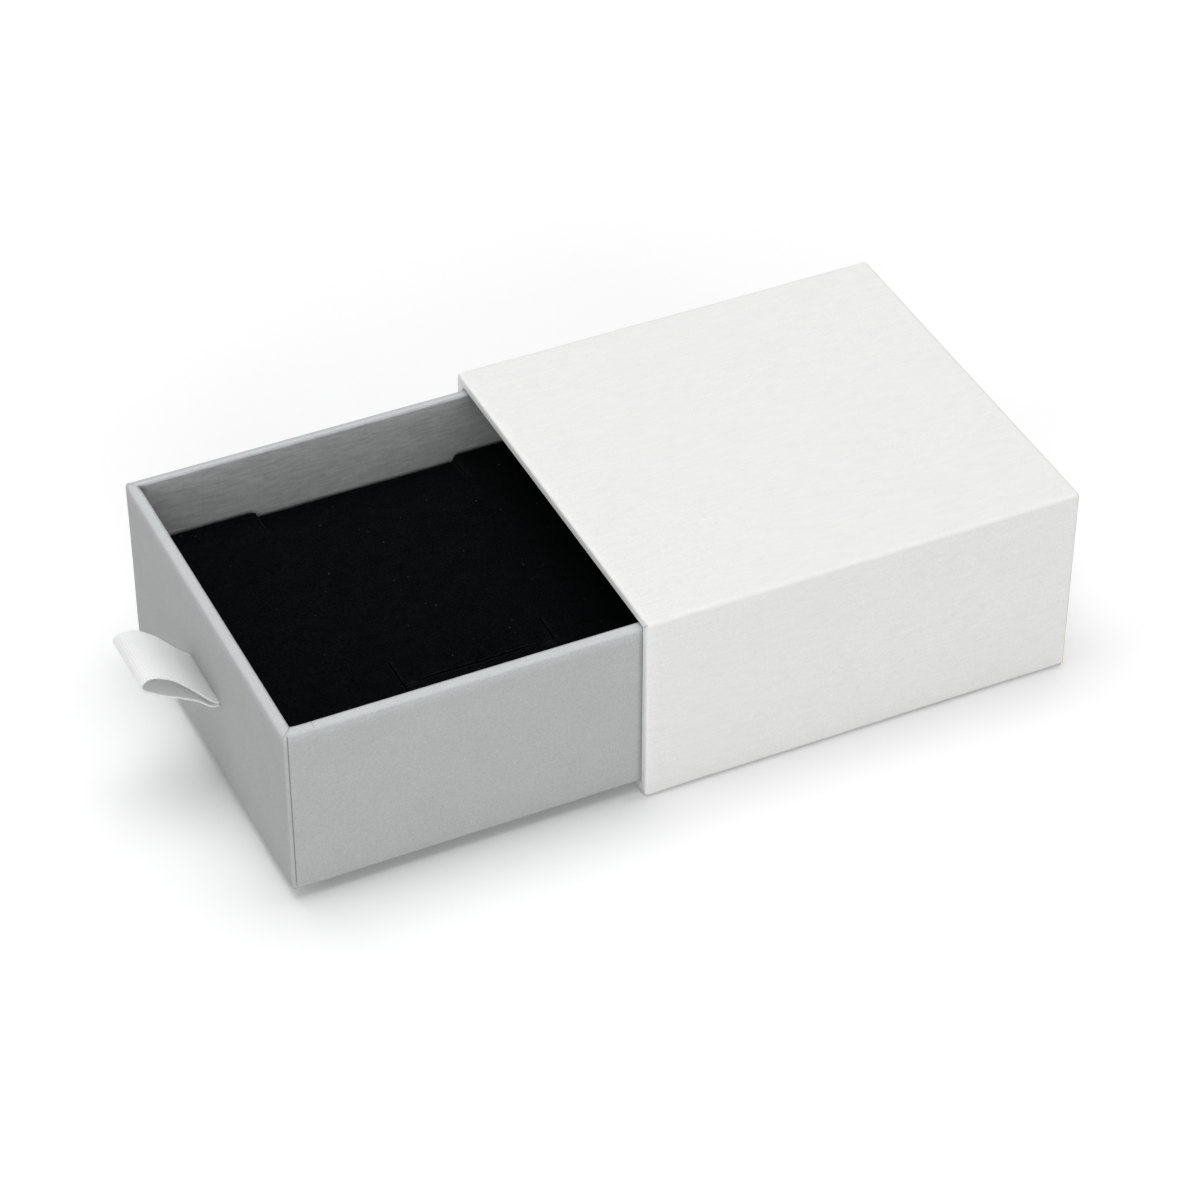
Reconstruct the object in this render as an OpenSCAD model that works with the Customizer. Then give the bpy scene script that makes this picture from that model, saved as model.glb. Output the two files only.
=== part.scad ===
// Sliding drawer gift box: a wrapped board sleeve, closed at its back, with a wrapped board drawer
// that slides out through its mouth on a ribbon pull and holds a slit display pad.
// Origin: centre of the sleeve's underside. +X points to the closed back, so the drawer slides out
// towards -X. +Z is up. Right and left are those of someone who faces the drawer front (right is -Y).

/* [Sleeve] */
// Outer length of the sleeve, from mouth to closed back
sleeve_length = 74.2; // [60:0.2:110]
// Outer width of the sleeve
sleeve_width = 70; // [60:0.5:110]
// Outer height of the sleeve
sleeve_height = 34.6; // [30:0.2:60]
// Thickness of the sleeve's grey board
sleeve_board_t = 1.5; // [1:0.1:2.5]
// Outer radius of the sleeve's long wrapped edges
sleeve_edge_r = 0.8; // [0.6:0.1:1.4]
// How far the sleeve's wrap is turned in at the mouth
sleeve_turn_in = 12; // [8:0.5:20]
// Width of the wrap's flaps folded over the back board
back_flap = 8; // [5:0.5:12]
// Bare margin left round the sheets pasted on the underside and the back
sheet_margin = 1; // [0.9:0.1:3]
// Width of each leg of the tape that closes the sleeve's long seam
seam_tape_leg = 9; // [6:0.5:14]

/* [Drawer] */
// How far the drawer front stands out of the mouth
drawer_out = 57.2; // [0:0.1:60]
// Thickness of the drawer's grey board
drawer_board_t = 1.5; // [1:0.1:2.5]
// Outer radius of the drawer's upright wrapped corners
drawer_edge_r = 0.5; // [0.4:0.05:1]
// Running gap between the drawer and each side of the sleeve
side_gap = 0.2; // [0.1:0.05:0.6]
// Running gap between the drawer rim and the sleeve's ceiling
top_gap = 0.4; // [0.2:0.05:1]
// Running gap between the drawer and the sleeve's floor
floor_gap = 0.1; // [0.05:0.05:0.3]
// Gap left behind the drawer when it is pushed home
closing_gap = 0.3; // [0.1:0.1:1]
// Width of each leg of the tapes on the drawer's corners
corner_tape_leg = 8; // [5:0.5:12]

/* [Papers] */
// Thickness of the wrapping and lining papers
paper_t = 0.15; // [0.1:0.01:0.25]
// Thickness of the paper tapes let into the board
tape_t = 0.08; // [0.05:0.01:0.12]

/* [Ribbon] */
// Width of the ribbon
ribbon_width = 12.6; // [8:0.2:25]
// Thickness of the ribbon
ribbon_t = 0.3; // [0.2:0.02:0.4]
// Height of the slit's centre above the drawer's underside
slit_up = 15.2; // [12:0.2:22]
// Distance of the slit's centre from the middle of the drawer front, towards the left
slit_shift = 0.8; // [-5:0.1:5]
// Clearance round the two plies in the slit
slit_clearance = 0.1; // [0.05:0.01:0.2]
// How far the loop's fold stands out of the drawer front
ribbon_reach = 12; // [8:0.1:20]
// Height of the loop's crest above the slit
ribbon_crest = 8.55; // [6:0.05:12]
// Length of the tails glued down inside the drawer front
ribbon_tail = 8.5; // [5:0.5:11]
// Gap between the two plies where they lie together
ply_gap = 0.04; // [0.02:0.01:0.1]
// How far the glue patch reaches past the ribbon, on each side and below
patch_margin = 4; // [2:0.5:6]

/* [Pad] */
// Depth of the pad's face below the drawer rim
pad_drop = 10; // [5:0.5:14]
// Gap between the pad and the drawer's side and back walls
pad_gap = 0.25; // [0.1:0.05:0.6]
// Gap between the pad and the patch on the drawer front
pad_patch_gap = 0.1; // [0.05:0.05:0.5]
// Thickness of the card under the foam
pad_card_t = 0.8; // [0.5:0.1:1.5]
// Thickness of the velvet over the foam
velvet_t = 0.6; // [0.4:0.05:0.9]
// Radius of the pad's top edges
pad_edge_r = 1.2; // [1:0.1:2]
// Width of the velvet turned under the card
velvet_turn_under = 8; // [5:0.5:12]
// Length of the slit that holds a ring
ring_slit_length = 25; // [18:0.5:30]
// Length of the short cuts across the two ends of the ring slit
ring_slit_end_cut = 10; // [4:0.5:12]
// Width of the slit that holds a ring
ring_slit_width = 0.8; // [0.5:0.1:2]
// Depth of the slit that holds a ring
ring_slit_depth = 9; // [6:0.5:10]
// Distance of the ring slit from the pad's middle, towards the right
ring_slit_offset = 18.3; // [14:0.1:20]
// Distance between the two slits that hold a chain
chain_slit_spacing = 34; // [26:0.5:40]
// Distance of the slits' middle from the drawer's middle, towards the sleeve
pad_slits_shift = 1.2; // [-3:0.1:3]
// Length of each chain slit, in from the pad's left edge
chain_slit_length = 7; // [4:0.5:12]
// Width of each chain slit
chain_slit_width = 0.6; // [0.4:0.1:1]
// Depth of each chain slit
chain_slit_depth = 6; // [4:0.5:8]

/* [Hidden] */

$fn = 48;
// Extra length of a cutting solid past the face that it cuts
cut = 1;
// Smallest corner radius that is drawn
least_r = 0.1;
// Straight steps along each curve of the ribbon
ribbon_steps = 10;

LEFT = 1;
RIGHT = -1;
FRONT = 0;
BACK = 1;

// Sleeve: distances in from the outer face of the wrap
sleeve_board_in = paper_t;
sleeve_lining_in = sleeve_board_in + sleeve_board_t;
sleeve_inner_in = sleeve_lining_in + paper_t;
mouth_x = -sleeve_length / 2;
back_x = sleeve_length / 2;
back_flap_x = back_x - 2 * paper_t;
back_board_x = back_flap_x - sleeve_board_t;
back_lining_x = back_board_x - paper_t;
turn_in_x = mouth_x + sleeve_turn_in;
// The wrap stands on the sheet that is pasted under it
wrap_bottom_z = paper_t;
wrap_height = sleeve_height - wrap_bottom_z;
wrap_middle_z = wrap_bottom_z + wrap_height / 2;
sleeve_floor_z = wrap_bottom_z + sleeve_inner_in;
sleeve_ceiling_z = sleeve_height - sleeve_inner_in;

// Drawer: its own frame starts at the front's outer face, on the underside
drawer_x = mouth_x - drawer_out;
drawer_z = sleeve_floor_z + floor_gap;
drawer_length = back_lining_x - mouth_x - closing_gap;
drawer_width = sleeve_width - 2 * (sleeve_inner_in + side_gap);
drawer_height = sleeve_ceiling_z - top_gap - drawer_z;
drawer_board_in = paper_t;
drawer_lining_in = drawer_board_in + drawer_board_t;
drawer_inner_in = drawer_lining_in + paper_t;
base_board_top = paper_t + drawer_board_t;
wall_board_top = drawer_height - paper_t;
drawer_floor_top = base_board_top + paper_t;

// Ribbon: the slit, and how deep the tails and their patch lie on the inner face
slit_height = 2 * ribbon_t + ply_gap + 2 * slit_clearance;
slit_width = ribbon_width + 2 * slit_clearance;
ply_offset = (ribbon_t + ply_gap) / 2;
tail_seat = drawer_inner_in + ply_gap;
tail_depth = tail_seat + 2 * ribbon_t + ply_gap;
patch_depth = tail_depth + ply_gap + paper_t;

// Pad: a block in the drawer's frame
pad_front = patch_depth + pad_patch_gap;
pad_back = drawer_length - drawer_inner_in - pad_gap;
pad_length = pad_back - pad_front;
pad_width = drawer_width - 2 * (drawer_inner_in + pad_gap);
pad_bottom = drawer_floor_top;
pad_top = drawer_height - pad_drop;
pad_card_bottom = pad_bottom + velvet_t;
pad_foam_bottom = pad_card_bottom + pad_card_t;
pad_middle_x = drawer_length / 2;

// --- Shapes -------------------------------------------------------------------------------------

// Rectangle with round corners, centred
module rounded_rect(size, r) {
  straight = [size.x - 2 * r, size.y - 2 * r];
  square([size.x, straight.y], center = true);
  square([straight.x, size.y], center = true);
  for (sx = [-1, 1], sy = [-1, 1])
    translate([sx * straight.x / 2, sy * straight.y / 2])
      circle(r = r);
}

// Extrudes a profile drawn in width and height along X, from one station to another
module along_x(from_x, to_x) {
  translate([from_x, 0, 0])
    rotate([90, 0, 90])
      linear_extrude(height = to_x - from_x)
        children();
}

// Outline of the sleeve's wrap, moved in by a distance
module sleeve_outline(inset) {
  translate([0, wrap_middle_z])
    rounded_rect(
      [sleeve_width - 2 * inset, wrap_height - 2 * inset],
      max(sleeve_edge_r - inset, least_r)
    );
}

module sleeve_prism(inset, from_x, to_x) {
  along_x(from_x, to_x)
    sleeve_outline(inset);
}

// Mitred share of the sleeve's board ring: the side the wedge faces is its direction in width, height
module board_wedge(side_y, side_z) {
  outer = [sleeve_width / 2, wrap_height / 2];
  inner = [outer.x - sleeve_lining_in, outer.y - sleeve_lining_in];
  translate([0, wrap_middle_z])
    if (side_z != 0)
      polygon([
        [-outer.x, side_z * outer.y], [outer.x, side_z * outer.y],
        [inner.x, side_z * inner.y], [-inner.x, side_z * inner.y]
      ]);
    else
      polygon([
        [side_y * outer.x, -outer.y], [side_y * outer.x, outer.y],
        [side_y * inner.x, inner.y], [side_y * inner.x, -inner.y]
      ]);
}

// One mitred panel of the sleeve, between the wrap's mouth edge and its back flaps
module sleeve_panel(side_y, side_z) {
  difference() {
    along_x(mouth_x + paper_t, back_flap_x)
      intersection() {
        difference() {
          sleeve_outline(sleeve_board_in);
          translate([0, wrap_middle_z])
            square([sleeve_width - 2 * sleeve_lining_in, wrap_height - 2 * sleeve_lining_in], center = true);
        }
        board_wedge(side_y, side_z);
      }
    seam_tape_solid();
  }
}

// Tape on the outside of the board along the lower right edge, where the folded board closes
module seam_tape_solid() {
  along_x(mouth_x + paper_t, back_flap_x)
    intersection() {
      difference() {
        sleeve_outline(sleeve_board_in);
        sleeve_outline(sleeve_board_in + tape_t);
      }
      translate([RIGHT * sleeve_width / 2, wrap_bottom_z])
        square([seam_tape_leg, seam_tape_leg]);
    }
}

// Draws in the drawer's frame
module in_drawer() {
  translate([drawer_x, 0, drawer_z])
    children();
}

// Block with the drawer's plan, moved in by a distance, between two heights
module drawer_block(inset, from_z, to_z) {
  translate([drawer_length / 2, 0, from_z])
    linear_extrude(height = to_z - from_z)
      rounded_rect(
        [drawer_length - 2 * inset, drawer_width - 2 * inset],
        max(drawer_edge_r - inset, least_r)
      );
}

// Square-cornered room inside the drawer, moved in by a distance, from a height upwards
module drawer_room(inset, from_z, to_z) {
  translate([inset, -drawer_width / 2 + inset, from_z])
    cube([drawer_length - 2 * inset, drawer_width - 2 * inset, to_z - from_z]);
}

// The ring that the four wall boards fill
module wall_ring() {
  difference() {
    drawer_block(drawer_board_in, base_board_top, wall_board_top);
    drawer_room(drawer_lining_in, base_board_top - cut, wall_board_top + cut);
  }
}

// Tape folded round one upright corner of the drawer's boards
module corner_tape(end, side) {
  corner_x = end == FRONT ? 0 : drawer_length - corner_tape_leg;
  corner_y = side == LEFT ? drawer_width / 2 - corner_tape_leg : -drawer_width / 2;
  intersection() {
    difference() {
      drawer_block(drawer_board_in, base_board_top, wall_board_top);
      drawer_block(drawer_board_in + tape_t, base_board_top - cut, wall_board_top + cut);
    }
    translate([corner_x, corner_y, 0])
      cube([corner_tape_leg, corner_tape_leg, drawer_height]);
  }
}

module all_corner_tapes() {
  for (end = [FRONT, BACK], side = [LEFT, RIGHT])
    corner_tape(end, side);
}

// Board across the drawer's full width, at its front or its back
module end_board(end) {
  board_x = end == FRONT ? 0 : drawer_length - drawer_lining_in;
  difference() {
    intersection() {
      wall_ring();
      translate([board_x, -drawer_width / 2, 0])
        cube([drawer_lining_in, drawer_width, drawer_height]);
    }
    all_corner_tapes();
  }
}

// Board between the end boards, on one side of the drawer
module side_board(side) {
  board_y = side == LEFT ? drawer_width / 2 - drawer_lining_in : -drawer_width / 2;
  difference() {
    intersection() {
      wall_ring();
      translate([drawer_lining_in, board_y, 0])
        cube([drawer_length - 2 * drawer_lining_in, drawer_lining_in, drawer_height]);
    }
    all_corner_tapes();
  }
}

// The slit through the drawer front
module slit_cut() {
  translate([-cut, slit_shift - slit_width / 2, slit_up - slit_height / 2])
    cube([drawer_inner_in + 2 * cut, slit_width, slit_height]);
}

// --- Ribbon -------------------------------------------------------------------------------------

// Point of a cubic curve with four control points, at a share t of its way
function curve_point(p, t) =
  pow(1 - t, 3) * p[0] + 3 * pow(1 - t, 2) * t * p[1] + 3 * (1 - t) * pow(t, 2) * p[2] + pow(t, 3) * p[3];

function curve_points(p) = [for (i = [1 : ribbon_steps]) curve_point(p, i / ribbon_steps)];

// Control points of the loop, as shares of its reach and its crest: out along the upper ply, round
// the fold, and back along the lower ply
upper_shares = [[0, 0], [0.2, 0.12], [0.5, 0.99], [0.875, 1]];
fold_shares = [[0.875, 1], [0.97, 1], [1.07, 0.84], [0.896, 0.708]];
lower_shares = [[0.896, 0.708], [0.62, 0.47], [0.24, 0.12], [0.03, 0]];

// Shares turned into places in the drawer's frame, moved up or down by a ply's offset at the slit
function loop_place(share, offset_z) =
  [-share.x * ribbon_reach, slit_up + share.y * ribbon_crest + offset_z * (1 - share.x)];
function loop_curve(shares, offset_z) = curve_points([for (s = shares) loop_place(s, offset_z)]);

// Middle line of the whole ribbon, from one tail's end to the other's
function ribbon_line() = concat(
  [
    [tail_depth - ribbon_t / 2, slit_up - ribbon_tail],
    [tail_depth - ribbon_t / 2, slit_up + ply_offset],
    loop_place([0, 0], ply_offset)
  ],
  loop_curve(upper_shares, ply_offset),
  loop_curve(fold_shares, 0),
  loop_curve(lower_shares, -ply_offset),
  [
    [tail_seat + ribbon_t / 2, slit_up - ply_offset],
    [tail_seat + ribbon_t / 2, slit_up - ribbon_tail]
  ]
);

function unit(v) = v / norm(v);
function turned(v) = [-v.y, v.x];

// Corner of the ribbon's side at point i, half a thickness off the middle line, mitred at bends
function side_point(line, i, half) =
  let (
    last = len(line) - 1,
    before = unit(line[max(i, 1)] - line[max(i, 1) - 1]),
    after = unit(line[min(i, last - 1) + 1] - line[min(i, last - 1)]),
    middle = unit(before + after)
  )
  line[i] + turned(middle) * half / (middle * before);

module ribbon_profile() {
  line = ribbon_line();
  last = len(line) - 1;
  polygon(concat(
    [for (i = [0 : last]) side_point(line, i, ribbon_t / 2)],
    [for (i = [last : -1 : 0]) side_point(line, i, -ribbon_t / 2)]
  ));
}

// --- Pad ----------------------------------------------------------------------------------------

// Block of the pad, moved in by a distance, with round top edges, between two heights
module pad_block(inset, from_z, to_z) {
  r = max(pad_edge_r - inset, least_r);
  size = [pad_length - 2 * inset, pad_width - 2 * inset, to_z - from_z];
  middle = [pad_front + pad_length / 2, 0, from_z];
  translate(middle)
    intersection() {
      rotate([90, 0, 0])
        linear_extrude(height = size.y, center = true)
          round_topped(size.x, size.z, r);
      rotate([90, 0, 90])
        linear_extrude(height = size.x, center = true)
          round_topped(size.y, size.z, r);
    }
}

// Rectangle standing on its base, with its two upper corners round
module round_topped(width, height, r) {
  translate([-width / 2, 0])
    square([width, height - r]);
  translate([-width / 2 + r, 0])
    square([width - 2 * r, height]);
  for (side = [-1, 1])
    translate([side * (width / 2 - r), height - r])
      circle(r = r);
}

// The slits cut into the pad's face: a ring slit with a cut across each end, and two chain slits
module pad_slits() {
  middle_x = pad_middle_x + pad_slits_shift;
  translate([middle_x - ring_slit_length / 2, -ring_slit_offset - ring_slit_width / 2, pad_top - ring_slit_depth])
    cube([ring_slit_length, ring_slit_width, ring_slit_depth + cut]);
  for (end = [-1, 1]) {
    translate([
      middle_x + end * ring_slit_length / 2 - ring_slit_width / 2,
      -ring_slit_offset - ring_slit_end_cut / 2,
      pad_top - ring_slit_depth
    ])
      cube([ring_slit_width, ring_slit_end_cut, ring_slit_depth + cut]);
    translate([
      middle_x + end * chain_slit_spacing / 2 - chain_slit_width / 2,
      pad_width / 2 - chain_slit_length,
      pad_top - chain_slit_depth
    ])
      cube([chain_slit_width, chain_slit_length + cut, chain_slit_depth + cut]);
  }
}

// --- Sleeve pieces ------------------------------------------------------------------------------

module sleeve_top_board() {
  color("#c9c4b8")
    sleeve_panel(0, 1);
}

module sleeve_bottom_board() {
  color("#c9c4b8")
    sleeve_panel(0, -1);
}

module sleeve_left_board() {
  color("#c9c4b8")
    sleeve_panel(LEFT, 0);
}

module sleeve_right_board() {
  color("#c9c4b8")
    sleeve_panel(RIGHT, 0);
}

// Board that closes the back, set inside the four panels
module sleeve_back_board() {
  color("#c9c4b8")
    along_x(back_board_x, back_flap_x)
      translate([0, wrap_middle_z])
        square([sleeve_width - 2 * sleeve_lining_in, wrap_height - 2 * sleeve_lining_in], center = true);
}

module sleeve_seam_tape() {
  color("#d8cdb4")
    seam_tape_solid();
}

// Wrap round the four sides, turned in at the mouth and folded over the back board
module sleeve_cover_paper() {
  color("#ececeb")
    difference() {
      sleeve_prism(0, mouth_x, back_x - paper_t);
      sleeve_prism(sleeve_inner_in, mouth_x - cut, back_board_x);
      difference() {
        sleeve_prism(sleeve_board_in, mouth_x + paper_t, back_flap_x);
        along_x(mouth_x, turn_in_x)
          translate([0, wrap_middle_z])
            square([sleeve_width - 2 * sleeve_lining_in, wrap_height - 2 * sleeve_lining_in], center = true);
      }
      along_x(back_board_x, back_x + cut)
        translate([0, wrap_middle_z])
          square([sleeve_width - 2 * back_flap, wrap_height - 2 * back_flap], center = true);
    }
}

// Sheet pasted on the underside; the box stands on it
module sleeve_base_paper() {
  color("#e6e6e4")
    translate([mouth_x + sheet_margin, -sleeve_width / 2 + sheet_margin, 0])
      cube([sleeve_length - 2 * sheet_margin, sleeve_width - 2 * sheet_margin, paper_t]);
}

// Sheet pasted on the back, over the wrap's flaps and down onto the board between them
module sleeve_back_paper() {
  color("#e9e9e8") {
    along_x(back_x - paper_t, back_x)
      translate([0, wrap_middle_z])
        square([sleeve_width - 2 * sheet_margin, wrap_height - 2 * sheet_margin], center = true);
    along_x(back_flap_x, back_x)
      translate([0, wrap_middle_z])
        square([sleeve_width - 2 * back_flap, wrap_height - 2 * back_flap], center = true);
  }
}

// Lining of the four sides, from the turned-in wrap to the back, and of the back itself
module sleeve_lining_paper() {
  color("#dcdcda")
    difference() {
      along_x(turn_in_x, back_board_x)
        translate([0, wrap_middle_z])
          square([sleeve_width - 2 * sleeve_lining_in, wrap_height - 2 * sleeve_lining_in], center = true);
      sleeve_prism(sleeve_inner_in, turn_in_x - cut, back_lining_x);
    }
}

// --- Drawer pieces ------------------------------------------------------------------------------

module drawer_base_board() {
  color("#c9c4b8")
    in_drawer()
      drawer_block(drawer_board_in, paper_t, base_board_top);
}

module drawer_front_board() {
  color("#c9c4b8")
    in_drawer()
      difference() {
        end_board(FRONT);
        slit_cut();
      }
}

module drawer_back_board() {
  color("#c9c4b8")
    in_drawer()
      end_board(BACK);
}

module drawer_left_board() {
  color("#c9c4b8")
    in_drawer()
      side_board(LEFT);
}

module drawer_right_board() {
  color("#c9c4b8")
    in_drawer()
      side_board(RIGHT);
}

module corner_tape_front_left() {
  color("#d8cdb4")
    in_drawer()
      corner_tape(FRONT, LEFT);
}

module corner_tape_front_right() {
  color("#d8cdb4")
    in_drawer()
      corner_tape(FRONT, RIGHT);
}

module corner_tape_back_left() {
  color("#d8cdb4")
    in_drawer()
      corner_tape(BACK, LEFT);
}

module corner_tape_back_right() {
  color("#d8cdb4")
    in_drawer()
      corner_tape(BACK, RIGHT);
}

// Wrap under the base, up the walls, over the rim and down inside to the base board
module drawer_cover_paper() {
  color("#b4b8b8")
    in_drawer()
      difference() {
        drawer_block(0, 0, drawer_height);
        drawer_block(drawer_board_in, paper_t, base_board_top);
        wall_ring();
        drawer_room(drawer_inner_in, base_board_top - cut, drawer_height + cut);
        slit_cut();
      }
}

// Paper pasted on the drawer's floor
module drawer_floor_paper() {
  color("#a9adad")
    in_drawer()
      drawer_room(drawer_inner_in, base_board_top, drawer_floor_top);
}

// One strip of ribbon: an open loop outside, both plies through the slit, and two tails inside
module ribbon_pull() {
  color("#f0f0f0")
    in_drawer()
      translate([0, slit_shift + ribbon_width / 2, 0])
        rotate([90, 0, 0])
          linear_extrude(height = ribbon_width)
            ribbon_profile();
}

// Paper patch glued over the ribbon's tails
module ribbon_patch() {
  patch_width = ribbon_width + 2 * patch_margin;
  patch_bottom = slit_up - ribbon_tail - patch_margin;
  patch_top = slit_up + slit_height / 2 + patch_margin / 2;
  room_width = ribbon_width + 2 * slit_clearance;
  color("#8f9494")
    in_drawer()
      translate([0, slit_shift, 0])
        difference() {
          union() {
            translate([drawer_inner_in, -patch_width / 2, patch_bottom])
              cube([paper_t, patch_width, patch_top - patch_bottom]);
            translate([
              drawer_inner_in,
              -room_width / 2 - paper_t,
              slit_up - ribbon_tail - slit_clearance - paper_t
            ])
              cube([
                patch_depth - drawer_inner_in,
                room_width + 2 * paper_t,
                ribbon_tail + slit_height / 2 + 2 * (slit_clearance + paper_t)
              ]);
          }
          translate([drawer_inner_in - cut, -room_width / 2, slit_up - ribbon_tail - slit_clearance])
            cube([
              tail_depth + ply_gap - drawer_inner_in + cut,
              room_width,
              ribbon_tail + slit_height / 2 + 2 * slit_clearance
            ]);
        }
}

// Card that stiffens the pad from below
module pad_card() {
  color("#3a3a3a")
    in_drawer()
      translate([pad_front + velvet_t, -pad_width / 2 + velvet_t, pad_card_bottom])
        cube([pad_length - 2 * velvet_t, pad_width - 2 * velvet_t, pad_card_t]);
}

// Foam block on the card
module pad_foam() {
  color("#161718")
    in_drawer()
      difference() {
        pad_block(velvet_t, pad_foam_bottom, pad_top - velvet_t);
        pad_slits();
      }
}

// Velvet over the foam's face and sides, turned under the card
module pad_velvet() {
  color("#0c0d0f")
    in_drawer()
      difference() {
        pad_block(0, pad_bottom, pad_top);
        pad_block(velvet_t, pad_card_bottom, pad_top - velvet_t);
        translate([pad_front + velvet_turn_under, -pad_width / 2 + velvet_turn_under, pad_bottom - cut])
          cube([pad_length - 2 * velvet_turn_under, pad_width - 2 * velvet_turn_under, cut + 2 * velvet_t]);
        pad_slits();
      }
}

sleeve_top_board();
sleeve_bottom_board();
sleeve_left_board();
sleeve_right_board();
sleeve_back_board();
sleeve_seam_tape();
sleeve_cover_paper();
sleeve_base_paper();
sleeve_back_paper();
sleeve_lining_paper();
drawer_base_board();
drawer_front_board();
drawer_back_board();
drawer_left_board();
drawer_right_board();
corner_tape_front_left();
corner_tape_front_right();
corner_tape_back_left();
corner_tape_back_right();
drawer_cover_paper();
drawer_floor_paper();
ribbon_pull();
ribbon_patch();
pad_card();
pad_foam();
pad_velvet();
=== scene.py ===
# %% [markdown]
# # A sliding drawer gift box
# The object is a small rigid box: a white paper-wrapped sleeve, closed at its back, and a grey
# paper-wrapped drawer that slides out of it on a loop of ribbon and holds a black velvet pad.
# A CAD model already fixes every size and every joint. This lesson dresses it: each cell makes one
# surface or one finish with numpy and Blender's nodes, and hangs it on the CAD part behind it.
# The first cell loads the CAD frame, and everything after it is built in the frame's own place.

# %% Load the frame
import bmesh
import bpy
import math
import numpy as np
from functools import partial
from mathutils import Matrix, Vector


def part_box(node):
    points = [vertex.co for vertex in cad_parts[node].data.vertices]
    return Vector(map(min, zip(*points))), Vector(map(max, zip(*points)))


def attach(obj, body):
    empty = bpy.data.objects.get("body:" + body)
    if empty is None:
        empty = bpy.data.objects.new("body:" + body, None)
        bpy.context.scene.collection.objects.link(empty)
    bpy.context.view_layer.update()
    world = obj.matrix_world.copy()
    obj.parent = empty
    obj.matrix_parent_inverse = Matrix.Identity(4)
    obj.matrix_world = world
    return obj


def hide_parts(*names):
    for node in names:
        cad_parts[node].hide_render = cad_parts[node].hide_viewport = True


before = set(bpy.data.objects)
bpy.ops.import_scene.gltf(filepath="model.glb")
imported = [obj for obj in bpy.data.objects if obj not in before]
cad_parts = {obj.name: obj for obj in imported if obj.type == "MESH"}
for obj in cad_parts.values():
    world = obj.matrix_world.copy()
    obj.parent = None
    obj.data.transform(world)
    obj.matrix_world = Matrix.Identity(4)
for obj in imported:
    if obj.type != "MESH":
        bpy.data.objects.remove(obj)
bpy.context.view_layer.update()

# %% [markdown]
# ## The camera
# A product camera stands well back with a long lens, so that upright edges stay nearly parallel.
# Its place was found by matching the corners of the CAD boxes to a picture 1200 pixels wide, so the
# focal length is known in pixels and is turned into millimetres on a 36 mm sensor here.

# %% Camera
MM = 0.001
PICTURE_WIDTH = 1200
SENSOR_WIDTH = 36
FOCAL_PIXELS = 3968.0
CAMERA_TURN, CAMERA_RISE, CAMERA_ROLL = np.radians([-25.381, 39.515, 0.112])
CAMERA_TARGET = np.array([-30.713, -5.180, 15.0])
CAMERA_DISTANCE = 621.41
CLIP_NEAR, CLIP_FAR = 0.05, 20

scene = bpy.context.scene


def put(name, data, axes=None, place=(0, 0, 0)):
    """Object in the scene, with the directions of its own X, Y and Z and its place in metres."""
    made = bpy.data.objects.new(name, data)
    if axes is not None:
        placement = np.eye(4)
        placement[:3, :3] = np.stack(axes, axis=1)
        placement[:3, 3] = place
        made.matrix_world = Matrix(placement.tolist())
    scene.collection.objects.link(made)
    return made


backwards = np.array([
    math.sin(CAMERA_TURN) * math.cos(CAMERA_RISE),
    -math.cos(CAMERA_TURN) * math.cos(CAMERA_RISE),
    math.sin(CAMERA_RISE),
])
level_right = np.array([math.cos(CAMERA_TURN), math.sin(CAMERA_TURN), 0])
level_up = np.cross(backwards, level_right)
right = level_right * math.cos(CAMERA_ROLL) + level_up * math.sin(CAMERA_ROLL)
up = np.cross(backwards, right)
camera_place = (CAMERA_TARGET + backwards * CAMERA_DISTANCE) * MM

camera_data = bpy.data.cameras.new("camera")
camera_data.sensor_width = SENSOR_WIDTH
camera_data.lens = FOCAL_PIXELS / PICTURE_WIDTH * SENSOR_WIDTH
camera_data.clip_start, camera_data.clip_end = CLIP_NEAR, CLIP_FAR
scene.camera = put("camera", camera_data, (right, up, backwards), camera_place)
print("lens:", round(camera_data.lens, 1), "mm")

# %% [markdown]
# ## Tools for surfaces
# A wrapped box is paper carried round a rectangle with round corners. The same shape turns up in
# the sleeve, the drawer and the pad, so one function makes it for all of them: the rows of the grid
# are stations along a profile, and its columns run once round the rectangle.
# The columns are the same for every row, which keeps the folds of the paper in line.

# %% Tools: grids, loops and arcs
def box_mm(node):
    """Lowest corner, highest corner, middle and half size of a CAD node, in millimetres."""
    low, high = np.array(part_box(node)) / MM
    return low, high, (low + high) / 2, (high - low) / 2


def grid_quads(rows, columns):
    """Quads of an open grid: point (i, j) has number i * columns + j, and each quad joins the four
    neighbours (i, j), (i + 1, j), (i + 1, j + 1), (i, j + 1)."""
    i, j = np.meshgrid(np.arange(rows - 1), np.arange(columns - 1), indexing="ij")
    first = (i * columns + j).ravel()
    return np.stack([first, first + columns, first + columns + 1, first + 1], axis=1)


def quarter(centre, radius, start, steps):
    """Quarter circle: centre + radius * (cos, sin) of an angle that turns 90 degrees from start."""
    angle = np.radians(start + np.linspace(0, 90, steps))
    return np.asarray(centre) + radius * np.stack([np.cos(angle), np.sin(angle)], axis=1)


def run(start, end, steps):
    """Straight run of points from start to end, without the end points."""
    share = np.linspace(0, 1, steps + 2)[1:-1, None]
    return np.asarray(start) * (1 - share) + np.asarray(end) * share


def path_length(line):
    """Distance along a line of points: 0, then the running sum of the gaps between neighbours."""
    return np.concatenate([[0], np.cumsum(np.linalg.norm(np.diff(line, axis=0), axis=1))])


def flat_map(along, around):
    """UV pairs of a grid: the row's distance along the sheet and the column's distance round it."""
    return np.stack(np.meshgrid(along, around, indexing="ij"), axis=-1)


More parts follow.
